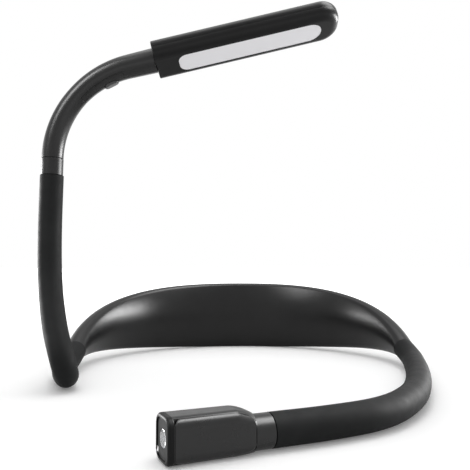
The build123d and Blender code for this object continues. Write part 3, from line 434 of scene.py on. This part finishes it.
def dress_nodes():
    """Gives each carried-over CAD node its material."""
    for node, name in NODE_MATERIALS.items():
        thing = frame["nodes"][node]
        thing.data.materials.clear()
        thing.data.materials.append(materials[name])


# Meshes

def new_piece(name, points, faces, material, smooth=True):
    """An object from points in metres and faces, with its material."""
    mesh = bpy.data.meshes.new(name)
    mesh.from_pydata([tuple(point) for point in points], [], faces)
    mesh.update()
    mesh.polygons.foreach_set("use_smooth", [smooth] * len(mesh.polygons))
    thing = bpy.data.objects.new(name, mesh)
    bpy.context.scene.collection.objects.link(thing)
    mesh.materials.append(materials[material])
    return thing


def smooth_route(points, step):
    """A smooth path that leaves the route's ends straight and rounds every corner."""
    middles = [(first + second) / 2 for first, second in zip(points, points[1:])]
    spans = [(points[0], (points[0] + middles[0]) / 2, middles[0])]
    spans += [(middles[i], points[i + 1], middles[i + 1]) for i in range(len(middles) - 1)]
    spans.append((middles[-1], (middles[-1] + points[-1]) / 2, points[-1]))
    path = [points[0]]
    for start, corner, end in spans:
        length = (corner - start).length + (end - corner).length
        count = max(2, math.ceil(length / step))
        for index in range(1, count + 1):
            t = index / count
            path.append(start * (1 - t) ** 2 + corner * (2 * t * (1 - t)) + end * t ** 2)
    return path


def frames_along(path):
    """Point, direction and two steady side directions at each point of a path."""
    rows = []
    side = None
    for index, point in enumerate(path):
        before = path[max(index - 1, 0)]
        after = path[min(index + 1, len(path) - 1)]
        along = (after - before).normalized()
        if side is None:
            side = along.orthogonal().normalized()
        side = (side - along * side.dot(along)).normalized()
        rows.append((point, along, side, along.cross(side)))
    return rows


def ring_points(row, radius, count):
    """A ring of points round one row of a path."""
    point, _, side, other = row
    ring = []
    for index in range(count):
        angle = 2 * math.pi * index / count
        ring.append(point + (side * math.cos(angle) + other * math.sin(angle)) * radius)
    return ring


def grid_faces(first, rows, count, flip=False):
    """Faces between rows of a closed ring grid."""
    faces = []
    for row in range(rows - 1):
        for index in range(count):
            a = first + row * count + index
            b = first + row * count + (index + 1) % count
            face = (a, b, b + count, a + count)
            faces.append(face[::-1] if flip else face)
    return faces


def tube_piece(name, path, outer, inner, material, count, shape=None):
    """A tube along a path; shape gives the outer radius's change at each row in millimetres."""
    rows = frames_along(path)
    points = []
    for index, row in enumerate(rows):
        change = shape(index) if shape else 0
        points += ring_points(row, (outer + change) * MM, count)
    faces = grid_faces(0, len(rows), count)
    last = (len(rows) - 1) * count
    if inner:
        start = len(points)
        for row in rows:
            points += ring_points(row, inner * MM, count)
        faces += grid_faces(start, len(rows), count, True)
        for first, flip in ((0, False), (last, True)):
            base = len(points)
            points += points[first:first + count] + points[start + first:start + first + count]
            for index in range(count):
                after = (index + 1) % count
                face = (base + index, base + count + index, base + count + after, base + after)
                faces.append(face[::-1] if flip else face)
    else:
        for first, flip in ((0, True), (last, False)):
            base = len(points)
            points += points[first:first + count]
            face = tuple(base + index for index in range(count))
            faces.append(face[::-1] if flip else face)
    return new_piece(name, points, faces, material)


# Pad

def band_plan_angle(share):
    """Plan angle of a share of the pad in degrees."""
    span = BAND_RIGHT_SPAN if share > 0 else BAND_LEFT_SPAN
    return 90 - span * share


def band_centre(share):
    """Centreline point of the pad, in millimetres about the loop's centre."""
    angle = math.radians(band_plan_angle(share))
    height = BAND_CENTRE_HEIGHT - BAND_END_DROP * abs(share) ** BAND_DROP_POWER
    return Vector((BAND_RADIUS * math.cos(angle), BAND_RADIUS * math.sin(angle), height))


def band_along(share):
    """Direction of the pad's centreline towards its right end."""
    span = BAND_RIGHT_SPAN if share > 0 else BAND_LEFT_SPAN
    angle = math.radians(band_plan_angle(share))
    run = BAND_RADIUS * math.radians(span)
    slope = BAND_END_DROP * BAND_DROP_POWER * abs(share) ** (BAND_DROP_POWER - 1)
    falling = -slope if share > 0 else slope
    along = Vector((math.sin(angle) * run, -math.cos(angle) * run, falling))
    return along.normalized()


def lens_outline(wide, high):
    """Points of the pad's lens section: four tangent arcs, each with a quarter of the points."""
    tip = wide - (high - wide) * BAND_TIP_SHARE
    flank = (wide ** 2 + (high - tip) ** 2 - tip ** 2) / (2 * (wide - tip))
    half_flank = math.atan2(high - tip, flank - wide)
    quarter = BAND_ROUND // 4
    outline = []
    for index in range(quarter):
        angle = -half_flank + 2 * half_flank * index / quarter
        outline.append((wide - flank + flank * math.cos(angle), flank * math.sin(angle)))
    spread_angle = math.pi - 2 * half_flank
    for index in range(quarter):
        angle = half_flank + spread_angle * index / quarter
        outline.append((tip * math.cos(angle), high - tip + tip * math.sin(angle)))
    return outline + [(-x, -y) for x, y in outline]


def band_section(share):
    """One section of the pad's skin, flat where it rests and with its parting lines."""
    centre = band_centre(share)
    along = band_along(share)
    angle = math.radians(band_plan_angle(share))
    radial = Vector((math.cos(angle), math.sin(angle), 0))
    upright = radial.cross(along) * -1
    if upright.z < 0:
        upright = upright * -1
    growth = math.cos(math.pi / 2 * abs(share) ** BAND_FULLNESS)
    high = (BAND_END_HEIGHT + (BAND_MIDDLE_HEIGHT - BAND_END_HEIGHT) * growth) / 2
    thick = math.cos(math.pi / 2 * abs(share))
    wide = (BAND_END_THICKNESS + (BAND_MIDDLE_THICKNESS - BAND_END_THICKNESS) * thick) / 2
    outline = lens_outline(wide, high)
    middle_top = BAND_ROUND // 4 + BAND_ROUND // 8
    row = []
    for index, (x, y) in enumerate(outline):
        if index % (BAND_ROUND // 2) == middle_top:
            y -= math.copysign(BAND_SEAM_DEPTH, y)
        point = centre + radial * x + upright * y
        point.z = max(point.z, 0.0)
        row.append(place(*point))
    return row


def make_pad():
    """The pad's skin as one continuous lens-shaped tube."""
    points = []
    for index in range(BAND_ROWS + 1):
        points += band_section(-1 + 2 * index / BAND_ROWS)
    faces = grid_faces(0, BAND_ROWS + 1, BAND_ROUND)
    for first, flip in ((0, True), (BAND_ROWS * BAND_ROUND, False)):
        base = len(points)
        points += points[first:first + BAND_ROUND]
        face = tuple(base + index for index in range(BAND_ROUND))
        faces.append(face[::-1] if flip else face)
    pad = new_piece("pad_skin", points, faces, "skin")
    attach(pad, "neck_band")
    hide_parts("neck_cover")


# Arms

def first_points(share):
    """The band's end and the straight first run of its sleeve."""
    end = band_centre(share)
    outward = band_along(share) * share
    return [end, end + outward * ARM_FIRST_RUN]


def lamp_path():
    """Smooth centreline of the lamp's sleeve in metres."""
    route = first_points(-1) + [Vector(point) for point in LAMP_ROUTE]
    return smooth_route([place(*point) for point in route], ARM_STEP * MM)


def torch_path():
    """Smooth centreline of the torch's sleeve in metres."""
    route = first_points(1) + [Vector((x, y, SLEEVE_HEIGHT)) for x, y in TORCH_ROUTE]
    return smooth_route([place(*point) for point in route], ARM_STEP * MM)


def split_path(path, index):
    """The two parts of a path, which share one point."""
    return path[:index + 1], path[index:]


def gooseneck_ridges(index):
    """The wound wire's round turns: every third row stands proud."""
    return CORE_RIDGES[index % len(CORE_RIDGES)]


def make_arm(prefix, path, split, side, nose, names):
    """Sleeve, gooseneck and cable of one arm, each in two lengths."""
    tail = band_along(side) * -side * (CORE_TAIL * MM)
    beyond = (path[-1] - path[-2]).normalized() * (nose * MM)
    near, far = split_path(path, split)
    inner_near = [near[0] + tail * (1 - index / TAIL_ROWS) for index in range(TAIL_ROWS)] + near
    inner_far = far + [far[-1] + beyond * ((index + 1) / NOSE_ROWS) for index in range(NOSE_ROWS)]
    sleeves, neck_node, wire_node = names
    for part, piece_path, inside in (("near", near, inner_near), ("far", far, inner_far)):
        sleeve = tube_piece(f"{prefix}_sleeve_{part}", piece_path, SLEEVE_DIAMETER / 2,
                            CORE_DIAMETER / 2 + SLEEVE_CLEARANCE, "sleeve", SLEEVE_ROUND)
        neck = tube_piece(f"{prefix}_wound_core_{part}", inside, CORE_DIAMETER / 2, CORE_BORE / 2,
                          "wound_core", CORE_ROUND, gooseneck_ridges)
        wire = tube_piece(f"{prefix}_wire_{part}", inside, CABLE_DIAMETER / 2, 0, "cable",
                          CABLE_ROUND)
        for piece, slot in ((sleeve, "sleeve"), (neck, "gooseneck"), (wire, "cable")):
            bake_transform(piece)
        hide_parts(*sleeves[part])
        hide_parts(neck_node)
        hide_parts(wire_node)


def nearest_index(path, measure):
    """Index of the path's point with the smallest measure."""
    return min(range(len(path)), key=lambda index: measure(path[index]))


def make_arms():
    """Both bendable arms."""
    lamp = lamp_path()
    split = nearest_index(lamp, lambda point: abs(point.z - LAMP_MIDDLE_HEIGHT * MM))
    lamp_sleeves = {"near": ("lamp_sleeve_lower",),
                    "far": ("lamp_sleeve_middle", "lamp_sleeve_upper")}
    lamp_names = (lamp_sleeves, "lamp_gooseneck", "lamp_cable")
    make_arm("lamp", lamp, split, -1, FERRULE_NOSE, lamp_names)

    torch = torch_path()
    joints = {joint["name"]: Vector(joint["pos_m"]) for joint in frame["joints"]}
    side = nearest_index(torch, lambda point: (point - joints["torch_bend_side"]).length)
    front = nearest_index(torch, lambda point: (point - joints["torch_bend_front"]).length)
    split = round(side + (front - side) * TORCH_MIDDLE_SHARE)
    torch_sleeves = {"near": ("torch_sleeve_rear",),
                     "far": ("torch_sleeve_middle", "torch_sleeve_front")}
    torch_names = (torch_sleeves, "torch_gooseneck", "torch_cable")
    make_arm("torch", torch, split, 1, TORCH_NOSE, torch_names)


# Rigid tube

def arm_frame():
    """The bend's centre and the lean of its start, in millimetres about the loop's centre."""
    end = Vector(LAMP_ROUTE[-1])
    axis = (end - Vector(LAMP_ROUTE[-2])).normalized()
    lean = math.atan2(axis.x, axis.z)
    top = end + axis * FERRULE_LENGTH
    return top + Vector((math.cos(lean), 0, -math.sin(lean))) * ARM_BEND_RADIUS, math.degrees(lean)


def arm_radius(run, whole):
    """Outer radius of the tube at a run from its start."""
    growth = max(run / whole - ARM_FLARE_SHARE, 0) / (1 - ARM_FLARE_SHARE)
    return (ARM_START_DIAMETER + (ARM_END_DIAMETER - ARM_START_DIAMETER) * growth) / 2


def arm_row(lean, straight=0.0):
    """Axis point, underside direction and radius of the tube, at a lean and a straight run."""
    centre, start = arm_frame()
    angle = math.radians(lean)
    away = Vector((-math.cos(angle), 0, math.sin(angle)))
    along = Vector((math.sin(angle), 0, math.cos(angle)))
    bend = math.radians(lean - start) * ARM_BEND_RADIUS
    whole = math.radians(ARM_END_LEAN - start) * ARM_BEND_RADIUS + ARM_STRAIGHT
    point = centre + away * ARM_BEND_RADIUS + along * straight
    return point, away * -1, arm_radius(bend + straight, whole)


def steps(first, last, count):
    """Evenly spaced numbers, both ends included."""
    return [first + (last - first) * index / (count - 1) for index in range(count)]


def arc_points(row, first, last, count):
    """Points on the tube's skin between two angles from its underside."""
    point, under, radius = row
    side = Vector((0, 1, 0))
    points = []
    for angle in steps(first, last, count):
        spot = point + (under * math.cos(angle) + side * math.sin(angle)) * radius
        points.append(place(*spot))
    return points


def split_angle(row, grown):
    """Half angle of the underside cover at a row, grown by a length in millimetres."""
    level = COVER_SPLIT_SHARE * ARM_START_DIAMETER / 2 - grown
    return math.acos(level / row[2])


def add_modifier(thing, kind, **settings):
    """A modifier with its settings."""
    made = thing.modifiers.new(kind.lower(), kind)
    for key, value in settings.items():
        setattr(made, key, value)
    return made


def settle(thing):
    """Applies the modifiers to the piece's mesh."""
    bpy.context.view_layer.update()
    graph = bpy.context.evaluated_depsgraph_get()
    mesh = bpy.data.meshes.new_from_object(thing.evaluated_get(graph))
    thing.modifiers.clear()
    thing.data = mesh


def round_edges(thing, width):
    """Softens a piece's hard edges."""
    add_modifier(thing, "BEVEL", width=width * MM, segments=SOFT_EDGE_SEGMENTS,
                 limit_method="ANGLE", angle_limit=math.radians(SOFT_EDGE_ANGLE),
                 harden_normals=True)


def make_arm_shell():
    """Upper part of the rigid tube, open below for the cover."""
    margin = math.degrees(SEAM_GAP / 2 / ARM_BEND_RADIUS)
    start = arm_frame()[1]
    first = COVER_START_LEAN - margin
    last = COVER_END_LEAN + margin
    leans = [(lean, 0.0, False) for lean in steps(start, first, TUBE_ROWS)]
    leans += [(lean, 0.0, True) for lean in steps(first, last, TUBE_OPEN_ROWS)[1:]]
    leans += [(lean, 0.0, False) for lean in steps(last, ARM_END_LEAN, TUBE_CLOSED_ROWS)[1:]]
    runs = steps(0.0, ARM_STRAIGHT, TUBE_STRAIGHT_ROWS)[1:]
    leans += [(ARM_END_LEAN, run, False) for run in runs]
    upper, lower = TUBE_UPPER_ROUND, TUBE_LOWER_ROUND
    points = []
    faces = []
    for number, (lean, straight, open_below) in enumerate(leans):
        row = arm_row(lean, straight)
        half = split_angle(row, SEAM_GAP / 2)
        points += arc_points(row, half, 2 * math.pi - half, upper)
        points += arc_points(row, -half, half, lower)[1:-1]
        if not number:
            continue
        count = upper + lower - 2
        base = (number - 1) * count
        for index in range(count):
            if open_below and index >= upper - 1:
                continue
            after = (index + 1) % count
            faces.append((base + index, base + after, base + count + after, base + count + index))
    shell = new_piece("tube_shell", points, faces, "gloss")
    add_modifier(shell, "SOLIDIFY", thickness=ARM_WALL * MM, offset=-1.0)
    settle(shell)
    round_edges(shell, TUBE_EDGE)
    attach(shell, "lamp_arm_upper")
    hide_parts("arm_shell")


def button_frame():
    """Middle of the button on the tube's axis, its outward direction and its length's direction."""
    point, under, _ = arm_row(BUTTON_LEAN)
    angle = math.radians(BUTTON_LEAN)
    return point, under, Vector((math.sin(angle), 0, math.cos(angle)))


def obround_column(name, grown, bottom, top, material):
    """A column with a rounded-end outline, square to the tube's underside at the button."""
    point, under, along = button_frame()
    side = Vector((0, 1, 0))
    half = BUTTON_WIDTH / 2 + grown
    straight = (BUTTON_LENGTH - BUTTON_WIDTH) / 2
    turn = steps(-math.pi / 2, math.pi / 2, BUTTON_ROUND)
    outline = [(straight + half * math.cos(angle), half * math.sin(angle)) for angle in turn]
    outline += [(-x, -y) for x, y in outline]
    count = len(outline)
    points = []
    for level in (bottom, top):
        points += [place(*(point + under * level + along * x + side * y)) for x, y in outline]
    faces = [(i, (i + 1) % count, count + (i + 1) % count, count + i) for i in range(count)]
    faces += [tuple(range(count))[::-1], tuple(range(count, 2 * count))]
    return new_piece(name, points, faces, material, False)


def make_arm_cover():
    """Curved strip that closes the tube's underside, with the button's hole."""
    margin = math.degrees(SEAM_GAP / 2 / ARM_BEND_RADIUS)
    leans = steps(COVER_START_LEAN + margin, COVER_END_LEAN - margin, COVER_ROWS)
    count = COVER_COLUMNS
    points = []
    faces = []
    for number, lean in enumerate(leans):
        row = arm_row(lean)
        half = split_angle(row, -SEAM_GAP / 2)
        points += arc_points(row, -half, half, count)
        if number:
            base = (number - 1) * count
            faces += [(base + i, base + i + 1, base + count + i + 1, base + count + i)
                      for i in range(count - 1)]
    cover = new_piece("tube_cover", points, faces, "gloss")
    add_modifier(cover, "SOLIDIFY", thickness=ARM_WALL * MM, offset=-1.0)
    cutter = obround_column("cutter", RUNNING_CLEARANCE, 0.0, ARM_END_DIAMETER, "gloss")
    add_modifier(cover, "BOOLEAN", operation="DIFFERENCE", solver="EXACT", object=cutter)
    settle(cover)
    bpy.data.objects.remove(cutter)
    round_edges(cover, COVER_EDGE)
    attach(cover, "lamp_arm_upper")
    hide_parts("arm_cover")


# Torch box

def torch_place(x, y, z):
    """A point of the torch box, from millimetres in its own frame."""
    heading = math.radians(POD_HEADING)
    reach = x - POD_LENGTH - POD_NECK_LENGTH
    end_x, end_y = TORCH_ROUTE[-1]
    return place(end_x + reach * math.cos(heading) - y * math.sin(heading),
                 end_y + reach * math.sin(heading) + y * math.cos(heading), z)


def between(x, first, last):
    """Share of the way from first to last, kept from nought to one."""
    return min(max((x - first) / (last - first), 0.0), 1.0)


def eased(first, last, index, count):
    """One of a count of numbers from first to last that lie closer together near both."""
    return first + (last - first) * (1 - math.cos(math.pi * index / (count - 1))) / 2


def panel_limits(x):
    """Lower and upper edge of the front panel at a place along the box."""
    taper = between(x, POD_TAPER_START, POD_LENGTH)
    low = PANEL_INSET + PANEL_LIFT * taper
    high = POD_HEIGHT - PANEL_INSET - (POD_HEIGHT - POD_SHOULDER_HEIGHT) * taper
    from_end = min(x - PANEL_START, POD_LENGTH - PANEL_INSET / 2 - x)
    if from_end < PANEL_CORNER:
        level = math.sqrt(max(PANEL_CORNER ** 2 - (PANEL_CORNER - from_end) ** 2, 0.0))
        low += PANEL_CORNER - level
        high -= PANEL_CORNER - level
    return low, high


def panel_depth(x, z):
    """Distance from the box's middle plane to the panel's skin, with the box's own corners."""
    wide = POD_WIDTH + (POD_MIDDLE_WIDTH - POD_WIDTH) * between(x, 0.0, POD_TAPER_START)
    wide += (POD_SHOULDER_WIDTH - POD_MIDDLE_WIDTH) * between(x, POD_TAPER_START, POD_LENGTH)
    high = POD_HEIGHT - (POD_HEIGHT - POD_SHOULDER_HEIGHT) * between(x, POD_TAPER_START, POD_LENGTH)
    beyond = max(POD_CORNER - z, z - (high - POD_CORNER), 0.0)
    return wide / 2 - POD_CORNER + math.sqrt(max(POD_CORNER ** 2 - beyond ** 2, 0.0))


def make_torch_panel():
    """Front panel of the torch box, with a softly rounded edge inside its seam."""
    last = POD_LENGTH - PANEL_INSET / 2
    points = []
    for column in range(PANEL_COLUMNS):
        x = eased(PANEL_START, last, column, PANEL_COLUMNS)
        low, high = panel_limits(x)
        for row in range(PANEL_ROWS):
            z = eased(low, high, row, PANEL_ROWS)
            edge = min(z - low, high - z, x - PANEL_START, last - x)
            sunk = PANEL_EDGE / 2 * (1 - math.sqrt(1 - (1 - between(edge, 0.0, PANEL_EDGE)) ** 2))
            points.append(torch_place(x, sunk - panel_depth(x, z), z))
    faces = []
    for column in range(PANEL_COLUMNS - 1):
        base = column * PANEL_ROWS
        faces += [(base + i, base + PANEL_ROWS + i, base + PANEL_ROWS + i + 1, base + i + 1)
                  for i in range(PANEL_ROWS - 1)]
    panel = new_piece("torch_panel", points, faces, "box_cover")
    add_modifier(panel, "SOLIDIFY", thickness=PANEL_THICKNESS * MM, offset=-1.0)
    settle(panel)
    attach(panel, "torch")
    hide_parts("torch_front_cover")


def turned(name, profile, material, node):
    """A closed profile of places and radii, turned round the torch's axis."""
    count = TURNED_ROUND
    points = []
    for x, radius in profile:
        for index in range(count):
            angle = 2 * math.pi * index / count
            height = TORCH_AXIS_HEIGHT + radius * math.sin(angle)
            points.append(torch_place(x, radius * math.cos(angle), height))
    faces = []
    for row in range(len(profile)):
        here = row * count
        after = (row + 1) % len(profile) * count
        for index in range(count):
            side = (index + 1) % count
            faces.append((here + index, here + side, after + side, after + index))
    piece = new_piece(name, points, faces, material)
    piece.data.set_sharp_from_angle(angle=math.radians(TURNED_SHARP_ANGLE))
    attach(piece, "torch")
    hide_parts(node)


def make_torch_optics():
    """Bright rim and curved bowl of the torch's reflector; the bowl's darker metal is painted shade
    in the reflector's hollow.
    """
    bowl = BOWL_RADIUS + BOWL_WALL
    rim = [(RIM_FRONT + RIM_EDGE, RIM_RADIUS), (RIM_BACK, RIM_RADIUS), (RIM_BACK, bowl),
           (BOWL_FRONT, bowl), (BOWL_FRONT, LENS_RADIUS), (RIM_FRONT + RIM_EDGE, LENS_RADIUS),
           (RIM_FRONT, LENS_RADIUS + RIM_EDGE / 2), (RIM_FRONT, RIM_RADIUS - RIM_EDGE)]
    turned("torch_rim", rim, "chrome", "torch_reflector")
    inner = []
    for share in steps(0.0, 1.0, BOWL_ROWS):
        x = BOWL_FRONT + (BOWL_BACK - BOWL_FRONT) * share
        inner.append((x, BOWL_RADIUS + (BOWL_THROAT - BOWL_RADIUS) * share ** BOWL_POWER))
    outer = [(x, radius + BOWL_WALL * BOWL_WALL_SHARE) for x, radius in reversed(inner)]
    turned("torch_bowl", inner + outer, "bowl", "torch_reflector")


# Studio

def make_camera():
    """Camera at the photograph's place and angle."""
    data = bpy.data.cameras.new("camera")
    data.sensor_width = CAMERA_SENSOR
    data.lens = data.sensor_width * FOCUS / PICTURE
    camera = bpy.data.objects.new("camera", data)
    bpy.context.scene.collection.objects.link(camera)
    camera.location = Vector(CAMERA_PLACE) * MM
    pitch = math.atan((HORIZON - PICTURE / 2) / FOCUS)
    camera.rotation_euler = (math.pi / 2 + pitch, 0, 0)
    data.clip_start = CAMERA_NEAR
    data.clip_end = CAMERA_FAR
    bpy.context.scene.camera = camera


def seen_white(tree):
    """One where a camera, glossy or transmission ray looks, nought elsewhere."""
    path = tree.nodes.new("ShaderNodeLightPath")
    first = tree.nodes.new("ShaderNodeMath")
    first.operation = "MAXIMUM"
    tree.links.new(path.outputs["Is Camera Ray"], first.inputs[0])
    tree.links.new(path.outputs["Is Glossy Ray"], first.inputs[1])
    second = tree.nodes.new("ShaderNodeMath")
    second.operation = "MAXIMUM"
    tree.links.new(first.outputs["Value"], second.inputs[0])
    tree.links.new(path.outputs["Is Transmission Ray"], second.inputs[1])
    return second.outputs["Value"]


def make_world():
    """White surroundings: full white where seen, plain light elsewhere."""
    world = bpy.data.worlds.new("studio")
    world.use_nodes = True
    bpy.context.scene.world = world
    tree = world.node_tree
    tree.nodes.clear()
    output = tree.nodes.new("ShaderNodeOutputWorld")
    mix = tree.nodes.new("ShaderNodeMixShader")
    tree.links.new(seen_white(tree), mix.inputs["Fac"])
    for socket, level in ((1, WORLD_LIGHT), (2, 1.0)):
        white = tree.nodes.new("ShaderNodeBackground")
        white.inputs["Color"].default_value = WHITE
        white.inputs["Strength"].default_value = level
        tree.links.new(white.outputs["Background"], mix.inputs[socket])
    tree.links.new(mix.outputs["Shader"], output.inputs["Surface"])


def make_floor():
    """Wide white floor that keeps the object's shadow."""
    half = FLOOR_HALF
    corners = [(-half, -half, 0), (half, -half, 0), (half, half, 0), (-half, half, 0)]
    mesh = bpy.data.meshes.new("floor")
    mesh.from_pydata(corners, [], [(0, 1, 2, 3)])
    floor = bpy.data.objects.new("floor", mesh)
    bpy.context.scene.collection.objects.link(floor)
    floor.location.z = -FLOOR_DROP
    made, tree, shader = new_material("floor")
    shader.inputs["Base Color"].default_value = (FLOOR_GREY, FLOOR_GREY, FLOOR_GREY, 1.0)
    shader.inputs["Roughness"].default_value = FLOOR_ROUGHNESS
    shader.inputs["Specular IOR Level"].default_value = 0.0
    shader.inputs["Emission Color"].default_value = WHITE
    position = tree.nodes.new("ShaderNodeNewGeometry")
    distance = tree.nodes.new("ShaderNodeVectorMath")
    distance.operation = "LENGTH"
    tree.links.new(position.outputs["Position"], distance.inputs[0])
    lift = tree.nodes.new("ShaderNodeMath")
    lift.operation = "MULTIPLY"
    glow = spread(tree, distance.outputs["Value"], *FLOOR_GLOW, *FLOOR_GLOW_REACH)
    tree.links.new(glow, lift.inputs[1])
    tree.links.new(seen_white(tree), lift.inputs[0])
    tree.links.new(lift.outputs["Value"], shader.inputs["Emission Strength"])
    mesh.materials.append(made)


def area_light(name, at, aim, size, power, on_floor=True):
    """A soft lamp that faces a point; without on_floor it only makes highlights."""
    data = bpy.data.lights.new(name, "AREA")
    data.shape = "RECTANGLE"
    data.size, data.size_y = size
    data.energy = power
    lamp = bpy.data.objects.new(name, data)
    bpy.context.scene.collection.objects.link(lamp)
    lamp.visible_diffuse = on_floor
    if not on_floor:
        data.cycles.max_bounces = 0
    lamp.location = at
    lamp.rotation_euler = (Vector(aim) - Vector(at)).to_track_quat("-Z", "Y").to_euler()


def make_studio():
    """Camera, floor, white surroundings and soft lamps."""
    make_camera()
    make_floor()
    make_world()
    area_light("overhead", **FLOOR_LAMP)
    for name, lamp in HIGHLIGHT_LAMPS.items():
        area_light(name, on_floor=False, **lamp)
    bpy.context.scene.view_settings.view_transform = "Standard"


dress_nodes()
make_pad()
make_arms()
make_arm_shell()
make_arm_cover()
make_torch_panel()
make_torch_optics()
make_studio()
